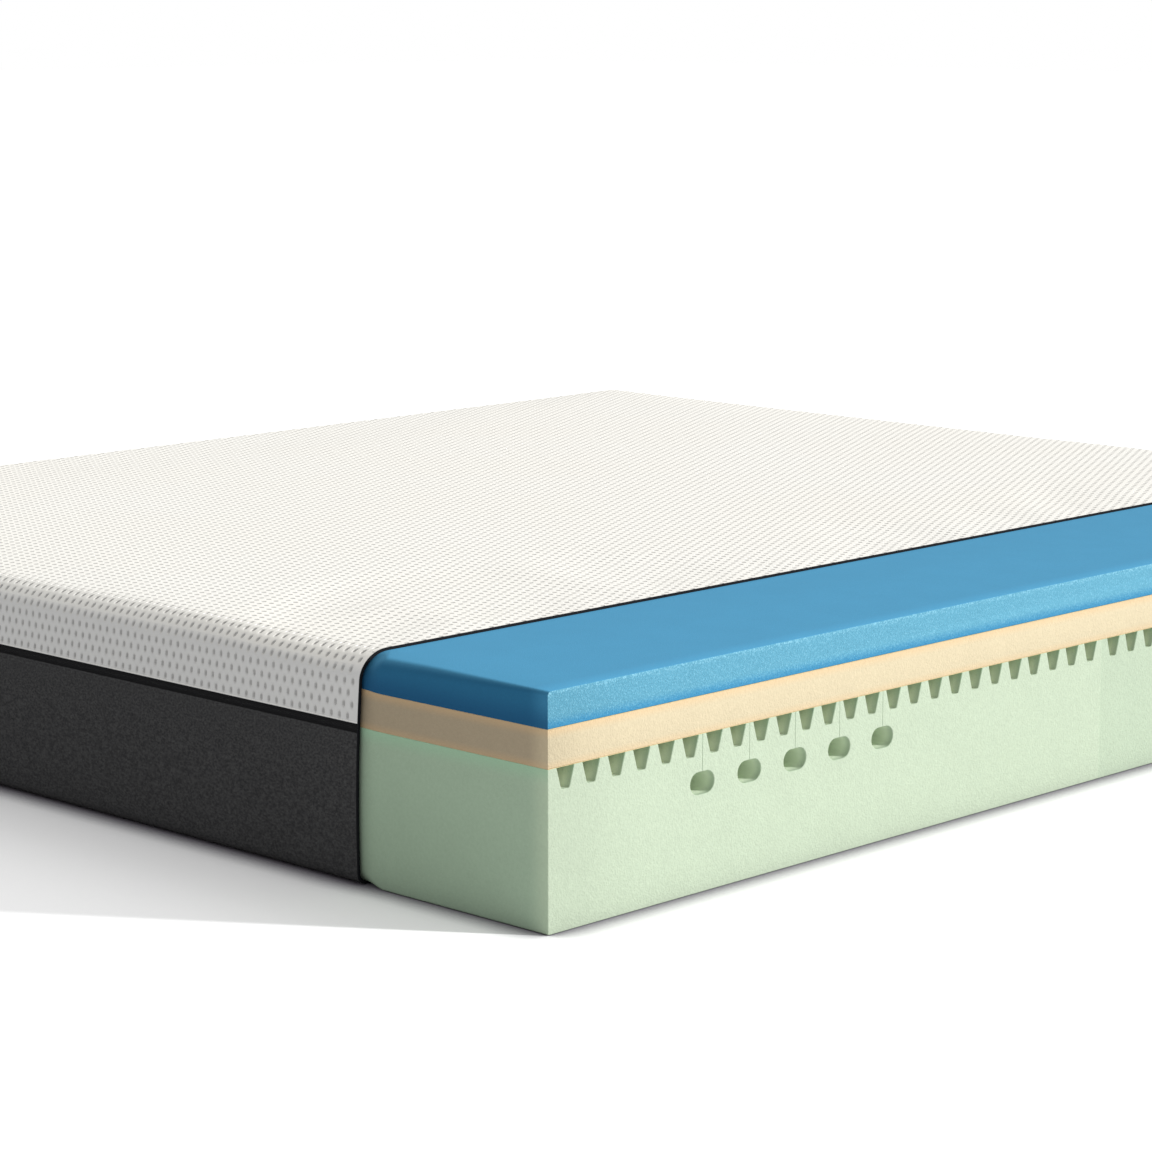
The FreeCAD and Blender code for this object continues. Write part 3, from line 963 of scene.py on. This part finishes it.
def settle(net, held):
    """Runs a net as cloth and returns how far each of its points moved."""
    pins = net.vertex_groups.new(name="sewn")
    pins.add([index for index, fixed in enumerate(held) if fixed], 1.0, "REPLACE")
    cloth = net.modifiers.new("cloth", "CLOTH")
    cloth.settings.quality = 6
    cloth.settings.mass = 0.25
    cloth.settings.tension_stiffness = 25
    cloth.settings.compression_stiffness = 25
    cloth.settings.bending_stiffness = 1.5
    cloth.settings.shrink_min = -net_growth
    cloth.settings.use_pressure = True
    cloth.settings.uniform_pressure_force = net_pressure
    cloth.settings.vertex_group_mass = pins.name
    cloth.settings.effector_weights.gravity = 0.0
    cloth.point_cache.frame_start = 1
    cloth.point_cache.frame_end = net_frames
    for frame_number in range(1, net_frames + 1):
        bpy.context.scene.frame_set(frame_number)
    before = np.array([v.co for v in net.data.vertices])
    graph = bpy.context.evaluated_depsgraph_get()
    after_mesh = net.evaluated_get(graph).to_mesh()
    after = np.array([v.co for v in after_mesh.vertices])
    net.modifiers.clear()
    bpy.context.scene.frame_set(1)
    moved = after - before
    far = np.linalg.norm(moved, axis=1)[:, None]
    return moved * np.minimum(1.0, most_swell / np.maximum(far, tiny))


Net = namedtuple("Net", "tree mesh moves")


def settled_net(name, section, rows, with_top):
    net, held = cover_net(name, section, rows, with_top)
    moves = settle(net, held)
    corners = [v.co.copy() for v in net.data.vertices]
    polygons = [tuple(face.vertices) for face in net.data.polygons]
    tree = BVHTree.FromPolygons(corners, polygons)
    print(name, "moved", round(float(np.abs(moves).max()) * 1000, 2), "mm at most, on average",
          round(float(np.linalg.norm(moves, axis=1).mean()) * 1000, 2), "mm")
    bpy.data.objects.remove(net)
    return Net(tree, (corners, polygons), moves)


def follow(piece, net):
    """Moves a fine piece with the net under it."""
    corners, polygons = net.mesh
    for vertex in piece.data.vertices:
        spot, normal, index, distance = net.tree.find_nearest(vertex.co)
        around = polygons[index]
        weights = poly_3d_calc([corners[k] for k in around], spot)
        shift = sum((Vector(net.moves[k]) * weight for k, weight in zip(around, weights)), Vector())
        vertex.co += shift


knit_net = None
border_net = None
knit_net = settled_net("knit net", knit_section, 5, True)

# %% [markdown]
# ## The knit top
# The cover's top is a thick spacer knit with a lattice of small oval holes. A bump map can
# paint them, and that is enough on the flat top, which is always seen from low down. On the
# upright side they are what the eye rests on, so there each one is a real dimple: the side is
# divided into cells, and every other cell gets a rim, a wall and a floor. All the holes are
# darkened in the colour as painted shade, and the upright side is greyed as painted shade.

# %% The lattice on the side
hole_pitch = 0.0131
column_count = 2 * round(path_length / hole_pitch)
column_width = path_length / column_count
row_count = 8
row_height = knit_section.length / row_count
hole_half_width = 0.0029
hole_half_height = 0.0047
hole_depth = 0.0018
hole_rings = ((1.0, 0.0, 0.15), (0.74, hole_depth * 0.6, 0.85), (0.40, hole_depth, 1.0))
top_hole_half_length = 0.0034
narrowest_cell = 0.0040
print(column_count, "columns of", round(column_width * 1000, 2), "mm,", row_count, "rows of",
      round(row_height * 1000, 2), "mm")


def knit_place(along, up, depth=0.0):
    out, z = knit_section.at(up, depth)
    return set_out(post_at(along), out, z)


def cell_width(column, up):
    """How wide a cell really is at a height: corner cells narrow towards the top."""
    post = post_at((column + 0.5) * column_width)
    straight = post.out_x == 0.0 or post.out_y == 0.0
    if straight:
        return column_width
    return column_width * knit_section.at(up)[0] / corner_radius


# %% Dimpled side of the knit
knit_points = []
knit_faces = []
hole_marks = []
hex_turns = [math.radians(90 - 60 * k) for k in range(6)]


def add_point(place, mark=0.0):
    knit_points.append(place)
    hole_marks.append(mark)
    return len(knit_points) - 1


side_grid = [[add_point(knit_place(c * column_width, k * row_height / 2))
              for k in range(2 * row_count + 1)] for c in range(column_count + 1)]


def add_dimple(column, row, outer):
    """A rim of six points, a wall and a floor inside six outer points."""
    middle = (column + 0.5) * column_width
    up = (row + 0.5) * row_height
    rings = []
    for share, depth, mark in hole_rings:
        half_width = share * hole_half_width
        half_height = share * hole_half_height
        rings.append([add_point(knit_place(middle + half_width * math.cos(t),
                                           up + half_height * math.sin(t), depth), mark)
                      for t in hex_turns])
    rim, wall, floor_ring = rings
    for k in range(6):
        after = (k + 1) % 6
        knit_faces.append((outer[k], outer[after], rim[k]))
        knit_faces.append((outer[after], rim[after], rim[k]))
        knit_faces.append((rim[k], rim[after], wall[after], wall[k]))
        knit_faces.append((wall[k], wall[after], floor_ring[after], floor_ring[k]))
    knit_faces.append(tuple(floor_ring))


dimples = 0
for column in range(column_count):
    left, right = side_grid[column], side_grid[column + 1]
    for row in range(row_count):
        low, middle, high = 2 * row, 2 * row + 1, 2 * row + 2
        wide_enough = cell_width(column, (row + 0.5) * row_height) > narrowest_cell
        if (column + row) % 2 == 0 and wide_enough and 0 < column < column_count - 1:
            outer = [left[high], right[high], right[middle], right[low], left[low], left[middle]]
            add_dimple(column, row, outer)
            dimples += 1
        else:
            knit_faces.append((left[low], right[low], right[middle], left[middle]))
            knit_faces.append((left[middle], right[middle], right[high], left[high]))
print(dimples, "dimples on the side of the knit")

# %% The flat top of the knit
top_rim = [side_grid[c][-1] for c in range(column_count + 1)]
top_step = 0.028
near_y = -(axis_y + knit_section.at(knit_section.length)[0])
left_x = axis_x - knit_section.at(knit_section.length)[0]
cut_count = round(-2 * near_y / top_step)
cut_line = [(cut_x, -near_y + 2 * near_y * k / cut_count, height) for k in range(1, cut_count)]
cut_indices = [add_point(place) for place in cut_line]
rim_loop = top_rim + cut_indices
inner_points = []
for i in range(1, int((cut_x - left_x) / top_step)):
    for k in range(1, int(-2 * near_y / top_step)):
        x = left_x + i * (cut_x - left_x) / int((cut_x - left_x) / top_step)
        y = near_y + k * top_step
        clear_of_corner = math.hypot(min(x - axis_x, 0.0), max(abs(y) - axis_y, 0.0)) < 0.008
        if clear_of_corner and x > left_x + 0.010 and abs(y) < -near_y - 0.010:
            inner_points.append((x, y))
rim_flat = [Vector(knit_points[index][:2]) for index in rim_loop]
loop_edges = [(k, (k + 1) % len(rim_loop)) for k in range(len(rim_loop))]
flat_points = rim_flat + [Vector(p) for p in inner_points]
filled = geometry.delaunay_2d_cdt(flat_points, loop_edges, [], 1, tiny)
top_points, top_faces, origins = filled[0], filled[2], filled[3]
top_index = []
for point, source in zip(top_points, origins):
    known = [index for index in source if index < len(rim_loop)]
    if known:
        top_index.append(rim_loop[known[0]])
    else:
        top_index.append(add_point((point.x, point.y, height)))
knit_faces += [tuple(top_index[k] for k in face) for face in top_faces]
print(len(inner_points), "points inside the flat top")

# %% The inner skin and the edges of the knit
inner_rows = (0.0, 0.045, 0.06, 0.075, 0.09, knit_section.length)
inner_grid = [[add_point(knit_place(c * column_width, up, knit_thickness)) for up in inner_rows]
              for c in range(0, column_count + 1)]
for column in range(column_count):
    for row in range(len(inner_rows) - 1):
        knit_faces.append((inner_grid[column][row], inner_grid[column][row + 1],
                           inner_grid[column + 1][row + 1], inner_grid[column + 1][row]))
    knit_faces.append((side_grid[column][0], inner_grid[column][0],
                       inner_grid[column + 1][0], side_grid[column + 1][0]))
inner_cut = [add_point((x, y, height - knit_thickness)) for x, y, z in cut_line]
knit_faces.append(tuple([inner_grid[c][-1] for c in range(column_count + 1)] + inner_cut))
outer_end = side_grid[-1] + cut_indices + side_grid[0][::-1]
inner_end = inner_grid[-1] + inner_cut + inner_grid[0][::-1]
knit_faces.append(tuple(outer_end + inner_end[::-1]))
knit = make_piece("knit_top_cover_cloth", knit_points, knit_faces, 70, weld=False)
# The marks say how deep in a hole a point lies; the finish darkens by them as painted shade.
marks = knit.data.attributes.new("hole", "FLOAT", "POINT")
marks.data.foreach_set("value", hole_marks)
face_outwards(knit)
if knit_net:
    follow(knit, knit_net)
smooth_piece(knit, 70)
print("knit points", len(knit_points))

# %% Knit finish
knit_finish = Finish("white spacer knit", Roughness=0.9, Specular_IOR_Level=0.2)
spot, (x, y, z) = knit_finish.place()
dimple = knit_finish.node("ShaderNodeAttribute", {"attribute_name": "hole"}, None, "Fac")
top_rows = round(-2 * near_y / row_height / 2) * 2
top_row_height = -2 * near_y / top_rows
across = (cut_x - x) / column_width
along = (y - near_y) / top_row_height
column_index = knit_finish.through("FLOOR", across)
row_index = knit_finish.through("FLOOR", along)
odd = (column_index + row_index) % 2.0
from_middle_x = (across - column_index - 0.5) * (column_width / hole_half_width)
from_middle_y = (along - row_index - 0.5) * (top_row_height / top_hole_half_length)
oval = from_middle_x * from_middle_x + from_middle_y * from_middle_y
on_top = (z > height - 0.0035) * (x > left_x)
painted = (1 - knit_finish.ease(oval, 0.35, 1.5)) * (1 - odd) * on_top
# Painted shade: the holes, painted on the top and real on the side, are darkened.
hole = knit_finish.node("ShaderNodeMath", {"operation": "MAXIMUM"}, {0: dimple, 1: painted})
loops = knit_finish.noise(knit_finish.stretched(spot, 1.0, 0.5, 0.6), 0.0012, 2.0)
cloud = knit_finish.noise(spot, 0.30, 2.0)
groove_between = (1 - knit_finish.ease(from_middle_x * from_middle_x, 0.2, 2.0)) * on_top
knit_tone = knit_finish.mix(cloud, colour("FFFCF4"), colour("FFFEF9"))
knit_tone = knit_finish.mix((loops - 0.5) * 0.5 + 0.08, knit_tone, colour("E6E0D4"))
knit_tone = knit_finish.mix(groove_between * 0.12, knit_tone, colour("9A9792"))
facing_x, facing_y, facing_z = knit_finish.facing()
# Painted shade: upright faces of the knit are greyed, the top stays white.
painted_side_shade = 1 - knit_finish.ease(facing_z, 0.30, 0.98)
knit_tone = knit_finish.mix(painted_side_shade * 0.95, knit_tone, colour("C6C6C5"))
knit_tone = knit_finish.mix(hole * 0.50, knit_tone, colour("767573"))
knit_relief = knit_finish.bump(loops * 0.25 - painted - groove_between * 0.4, 0.0010)
knit_finish.feed(Base_Color=knit_tone, Normal=knit_relief)
place_piece(knit, knit_finish, "white_knit", "knit_top_cover")
fold_down = knit_section.length
flat_knit = (cut_x - left_x + fold_down, -2 * near_y + 2 * fold_down)
print("the knit was cut to", tuple(round(size, 3) for size in flat_knit))

# %% [markdown]
# ## The side border and the base
# A dark woven fabric goes from the zip down the side and a little under the edge, where it is
# sewn to the base panel. It is lofted round the same path with its own section, as a closed
# shell two millimetres thick.

# %% Shell along the side
def shell_round(name, section, thickness, depth=0.0, step=0.012, rows=14, inner_rows_count=5):
    """A closed strip round the cover: a section swept along the path, with two ends."""
    columns = max(2, round(near_run / step))
    alongs = list(np.linspace(0, near_run, columns + 1))
    alongs += list(near_run + np.linspace(0, corner_run, 13)[1:])
    side_columns = round(side_run / step)
    alongs += list(near_run + corner_run + np.linspace(0, side_run, side_columns + 1)[1:])
    alongs += list(near_run + corner_run + side_run + np.linspace(0, corner_run, 13)[1:])
    alongs += list(near_run + 2 * corner_run + side_run + np.linspace(0, near_run, columns + 1)[1:])
    outer_ups = np.linspace(0, section.length, rows + 1)
    inner_ups = np.linspace(section.length, 0, inner_rows_count + 1)
    ring = [section.at(up, depth) for up in outer_ups]
    ring += [section.at(up, depth + thickness) for up in inner_ups]
    points = []
    faces = []
    count = len(ring)
    for along in alongs:
        post = post_at(along)
        points += [set_out(post, out, z) for out, z in ring]
    for i in range(len(alongs) - 1):
        for k in range(count):
            after = (k + 1) % count
            a = i * count
            faces.append((a + k, a + after, a + count + after, a + count + k))
    last = (len(alongs) - 1) * count
    faces.append(tuple(range(count)))
    faces.append(tuple(range(last + count - 1, last - 1, -1)))
    return make_piece(name, points, faces, 50)


foot_out = reach(foot_round_rise)
foot_middle = (foot_out - foot_round_width, foot_round_rise)
foot = quarter(foot_middle, foot_round_width, foot_round_rise, -1, 0, 12)
border_section = Section([(under_edge, 0.0), *foot, *side_points(foot_round_rise, zip_low)[1:]])
border = shell_round("side_border_fabric", border_section, border_thickness, rows=30,
                     inner_rows_count=12)
border_net = settled_net("border net", border_section, 6, False)
follow(border, border_net)
smooth_piece(border, 50)
print("border height along its surface", round(border_section.length, 4))

# %% Charcoal fabric
charcoal = Finish("charcoal fabric", Roughness=0.9, Specular_IOR_Level=0.12)
spot, (x, y, z) = charcoal.place()
speck = charcoal.noise(charcoal.stretched(spot, 1.0, 1.0, 1.4), 0.0036, 4.0, Roughness=0.7)
slub = charcoal.noise(charcoal.stretched(spot, 1.0, 1.0, 9.0), 0.03, 2.0)
thread_step = 0.0014
warp = charcoal.through("SINE", (x + y) * (2 * math.pi / thread_step))
weft = charcoal.through("SINE", z * (2 * math.pi / thread_step))
weave = warp * weft * 0.5 + 0.5
tone = charcoal.mix(charcoal.ease(speck, 0.32, 0.68), colour("272728"), colour("484848"))
tone = charcoal.mix((slub - 0.5) * 0.6 + 0.15, tone, colour("262628"))
tone = charcoal.mix(weave * 0.2, tone, colour("4A4A4C"))
charcoal.feed(Base_Color=tone, Normal=charcoal.bump(weave * 0.5 + speck * 0.5, 0.0005))
place_piece(border, charcoal, "charcoal_fabric", "side_border")

# %% Base panel
base_reach = 0.0432


def flat_panel(name, out, z_low, z_high):
    """A flat panel with rounded corners, whose open side ends at the cut."""
    turns = [math.radians(90) * k / 10 for k in range(11)]
    outline = [(cut_x, -axis_y - out)]
    outline += [(axis_x - out * math.sin(t), -axis_y - out * math.cos(t)) for t in turns]
    outline += [(axis_x - out * math.cos(t), axis_y + out * math.sin(t)) for t in turns]
    outline += [(cut_x, axis_y + out)]
    count = len(outline)
    points = [(x, y, z) for z in (z_low, z_high) for x, y in outline]
    faces = [tuple(range(count - 1, -1, -1)), tuple(range(count, 2 * count))]
    faces += [(k, (k + 1) % count, count + (k + 1) % count, count + k) for k in range(count)]
    return make_piece(name, points, faces)


base_panel = flat_panel("base_panel_fabric", base_reach, 0.0, border_thickness)
base_cloth = Finish("base fabric", Roughness=0.9)
spot, (x, y, z) = base_cloth.place()
dot_step = 0.012


def nearest_dot(value):
    return (value / dot_step) % 1.0 - 0.5


dot_x = nearest_dot(x)
dot_y = nearest_dot(y)
dots = 1 - base_cloth.ease(dot_x * dot_x + dot_y * dot_y, 0.02, 0.05)
felt = base_cloth.noise(spot, 0.002, 4.0)
tone = base_cloth.mix(felt, colour("2B2B2E"), colour("45454A"))
base_cloth.feed(Base_Color=base_cloth.mix(dots, tone, colour("18181A")),
                Normal=base_cloth.bump(dots + felt * 0.4, 0.0006))
place_piece(base_panel, base_cloth, "base_fabric", "base_panel")
panel_size = (cut_x - axis_x + base_reach, 2 * (axis_y + base_reach))

# %% [markdown]
# ## The binding on the cut
# The cut edge of the cover is bound with a narrow black tape. It is a closed loop that lies on
# the outline of the cover, so a small rounded section is carried round that outline.

# %% Cut edge binding
binding_thickness = knit_thickness


def outline_half():
    """The cover's outline on one end, from the middle of the underside to the middle of the top."""
    return Section([(under_edge * 0.5, 0.0), *foot,
                    *side_points(foot_round_rise, round_start_z)[1:], *top_edge[1:]])


end_outline = outline_half()
binding_steps = 90
loop_places = []
for side in (-1, 1):
    ups = np.linspace(0, end_outline.length, binding_steps)
    for up in (ups if side == -1 else ups[::-1]):
        loop_places.append((side, up))
section_of_binding = [(0.0, 0.0), (0.2, 0.0), (0.5, 0.0), (0.8, 0.0), (0.95, 0.0003),
                      (1.0, 0.0008), (1.0, binding_thickness), (0.0, binding_thickness)]
points = []
for side, up in loop_places:
    for share, depth in section_of_binding:
        out, z = end_outline.at(up, depth)
        points.append((cut_x + share * (bare_x - cut_x), side * (axis_y + out), z))
count = len(section_of_binding)
faces = []
for i in range(len(loop_places)):
    after_place = (i + 1) % len(loop_places)
    for k in range(count):
        after = (k + 1) % count
        faces.append((i * count + k, i * count + after,
                      after_place * count + after, after_place * count + k))
binding = make_piece("cut_edge_binding_tape", points, faces, 60)
binding_finish = Finish("black binding", Roughness=0.85, Specular_IOR_Level=0.1)
rib = binding_finish.noise(binding_finish.spot(), 0.0012, 2.0)
binding_finish.feed(Base_Color=binding_finish.mix(rib, colour("0A0B0D"), colour("1A1C20")),
                    Normal=binding_finish.bump(rib, 0.0003))
place_piece(binding, binding_finish, "binding", "cut_edge_binding")

# %% [markdown]
# ## The zip
# A coil zip joins the knit to the border and lets the cover come off. Its two tapes are woven
# strips, and its coils are rows of small teeth behind them. The tapes are lofted like the
# border. Each tooth is a small block of its own, because a smooth strip with a bump would show
# at its ends.

# %% Zip tapes
zip_middle = (zip_low + zip_high) / 2
zip_gap = 0.0003
tape_depth = 0.0005
tape_thickness = 0.0007
lower_tape_section = Section(side_points(zip_low, zip_middle - zip_gap / 2, 0, 4))
upper_tape_section = Section(side_points(zip_middle + zip_gap / 2, zip_high, 0, 4))
lower_tape = shell_round("lower_zip_tape_strip", lower_tape_section, tape_thickness,
                         tape_depth, 0.02, 4, 2)
upper_tape = shell_round("upper_zip_tape_strip", upper_tape_section, tape_thickness,
                         tape_depth, 0.02, 4, 2)
tape_finish = Finish("black zip tape", Roughness=0.8, Specular_IOR_Level=0.1)
spot, (x, y, z) = tape_finish.place()
slant = ((x + y) + z * 1.5) * (2 * math.pi / 0.0012)
twill = tape_finish.through("SINE", slant) * 0.5 + 0.5
middle_line = near_line(tape_finish, z, zip_middle, 0.0022)
tone = tape_finish.mix(twill, colour("0C0C0D"), colour("161618"))
tone = tape_finish.mix(middle_line * 0.4, tone, colour("2A2A2C"))
tape_finish.feed(Base_Color=tone, Normal=tape_finish.bump(twill, 0.0002))
place_piece(lower_tape, tape_finish, "zip_tape", "lower_zip_tape")
place_piece(upper_tape, tape_finish, "zip_tape", "upper_zip_tape")


# %% Zip teeth
tooth_pitch = 0.0018
tooth_width = 0.0016
stop_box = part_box("zip_end_stop")


def block_row(name, pitch, width, z_low, z_high, depth_out, depth_in, clear=None):
    """A row of small blocks round the cover, between two heights and two depths."""
    points = []
    faces = []
    row = Section(side_points(z_low, z_high, 0, 4))
    for i in range(int(path_length / pitch)):
        start = (i + 0.5) * pitch - width / 2
        corners = []
        for along in (start, start + width):
            post = post_at(along)
            for up in (0.0, row.length):
                for depth in (depth_out, depth_in):
                    out, z = row.at(up, depth)
                    corners.append(set_out(post, out, z))
        if clear and corners[0][0] < axis_x and clear[0] < corners[0][1] < clear[1]:
            continue
        a = len(points)
        points += corners
        faces += [(a, a + 1, a + 3, a + 2), (a + 4, a + 6, a + 7, a + 5), (a, a + 2, a + 6, a + 4),
                  (a + 1, a + 5, a + 7, a + 3), (a, a + 4, a + 5, a + 1),
                  (a + 2, a + 3, a + 7, a + 6)]
    return make_piece(name, points, faces, 30)


stop_clear = (stop_box[0].y - 0.0004, stop_box[1].y + 0.0004)
coil_depth = tape_depth + tape_thickness
coil_thickness = 0.0015


def teeth(name, coil_box):
    """The teeth of one coil, between the heights of the coil in the frame."""
    return block_row(name, tooth_pitch, tooth_width, coil_box[0].z, coil_box[1].z, coil_depth,
                     coil_depth + coil_thickness, stop_clear)


lower_coil_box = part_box("lower_zip_coil")
upper_coil_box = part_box("upper_zip_coil")
lower_coil = teeth("lower_zip_teeth", lower_coil_box)
upper_coil = teeth("upper_zip_teeth", upper_coil_box)
coil_finish = Finish("nylon zip teeth", Roughness=0.35)
gloss = coil_finish.noise(coil_finish.spot(), 0.0015, 2.0)
coil_finish.feed(Base_Color=coil_finish.mix(gloss, colour("151517"), colour("27272B")),
                 Roughness=gloss * 0.3 + 0.25)
place_piece(lower_coil, coil_finish, "zip_coil", "lower_zip_coil")
place_piece(upper_coil, coil_finish, "zip_coil", "upper_zip_coil")

# %% Stitches along the zip and under the edge
stitch_length = 0.0028
stitch_pitch = 0.0034
thread_grain = 0.0006
upper_stitch = block_row("upper_seam_stitches", stitch_pitch, stitch_length, zip_high + 0.0009,
                         zip_high + 0.0014, -0.0002, 0.0006)
lower_stitch = block_row("lower_seam_stitches", stitch_pitch, stitch_length, zip_low - 0.0016,
                         zip_low - 0.0011, -0.0002, 0.0006)
white_thread = Finish("white sewing thread", Roughness=0.7)
ply = white_thread.noise(white_thread.spot(), thread_grain, 1.0)
white_thread.feed(Base_Color=white_thread.mix(ply, colour("D8D5CF"), colour("F2F0EB")),
                  Normal=white_thread.bump(ply, 0.0002))
black_thread = Finish("black sewing thread", Roughness=0.6)
ply = black_thread.noise(black_thread.spot(), thread_grain, 1.0)
black_thread.feed(Base_Color=black_thread.mix(ply, colour("1A1A1C"), colour("333336")),
                  Normal=black_thread.bump(ply, 0.0002))
place_piece(upper_stitch, white_thread, "thread", "upper_seam_thread")
place_piece(lower_stitch, black_thread, "thread", "lower_seam_thread")
refinish("base_seam_thread", black_thread)

# %% Slider, pull and end stop
metal = Finish("black painted zip metal", Roughness=0.35, Metallic=0.6)
wear = metal.noise(metal.spot(), 0.004, 4.0)
rubbed = metal.ease(wear, 0.60, 0.72)
metal.feed(Base_Color=metal.mix(rubbed, colour("1E1E20"), colour("6E6E70")),
           Roughness=0.5 - rubbed * 0.2, Normal=metal.bump(wear, 0.0001))
for node in ("zip_slider", "zip_pull_tab", "zip_end_stop"):
    refinish(node, metal)

# %% Care label
label_low, label_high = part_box("care_label")
label_rows = 14
label_columns = 8
label_thickness = 0.0004
points = []
for depth in (0.0, label_thickness):
    for i in range(label_rows + 1):
        down = i / label_rows
        z = label_high.z + (label_low.z - label_high.z) * down
        for k in range(label_columns + 1):
            share = k / label_columns
            wave = 0.0012 * down * math.sin(share * 5.0 + 0.6) + 0.0012 * down
            x = axis_x - reach(z) - 0.0005 - wave - label_thickness + depth
            points.append((x, label_low.y + (label_high.y - label_low.y) * share, z))
row = label_columns + 1
sheet_points = (label_rows + 1) * row
faces = []
for i in range(label_rows):
    for k in range(label_columns):
        a = i * row + k
        faces.append((a, a + 1, a + 1 + row, a + row))
        b = a + sheet_points
        faces.append((b, b + row, b + 1 + row, b + 1))
rim = [k for k in range(row)] + [i * row + row - 1 for i in range(1, label_rows + 1)]
rim += [label_rows * row + k for k in range(row - 2, -1, -1)]
rim += [i * row for i in range(label_rows - 1, 0, -1)]
for first, second in zip(rim, rim[1:] + rim[:1]):
    faces.append((first, first + sheet_points, second + sheet_points, second))
label = make_piece("care_label_blank", points, faces, 50)
satin = Finish("white satin label", Roughness=0.45)
spot, (x, y, z) = satin.place()
satin_weave = satin.noise(satin.stretched(spot, 1.0, 1.0, 8.0), 0.001, 1.0)
hem = near_line(satin, z, label_low.z + 0.003, 0.0006)
tone = satin.mix(satin_weave, colour("E4E3E0"), colour("F5F4F1"))
satin.feed(Base_Color=satin.mix(hem * 0.5, tone, colour("A9A8A5")),
           Normal=satin.bump(satin_weave, 0.0001))
place_piece(label, satin, "label", "care_label")
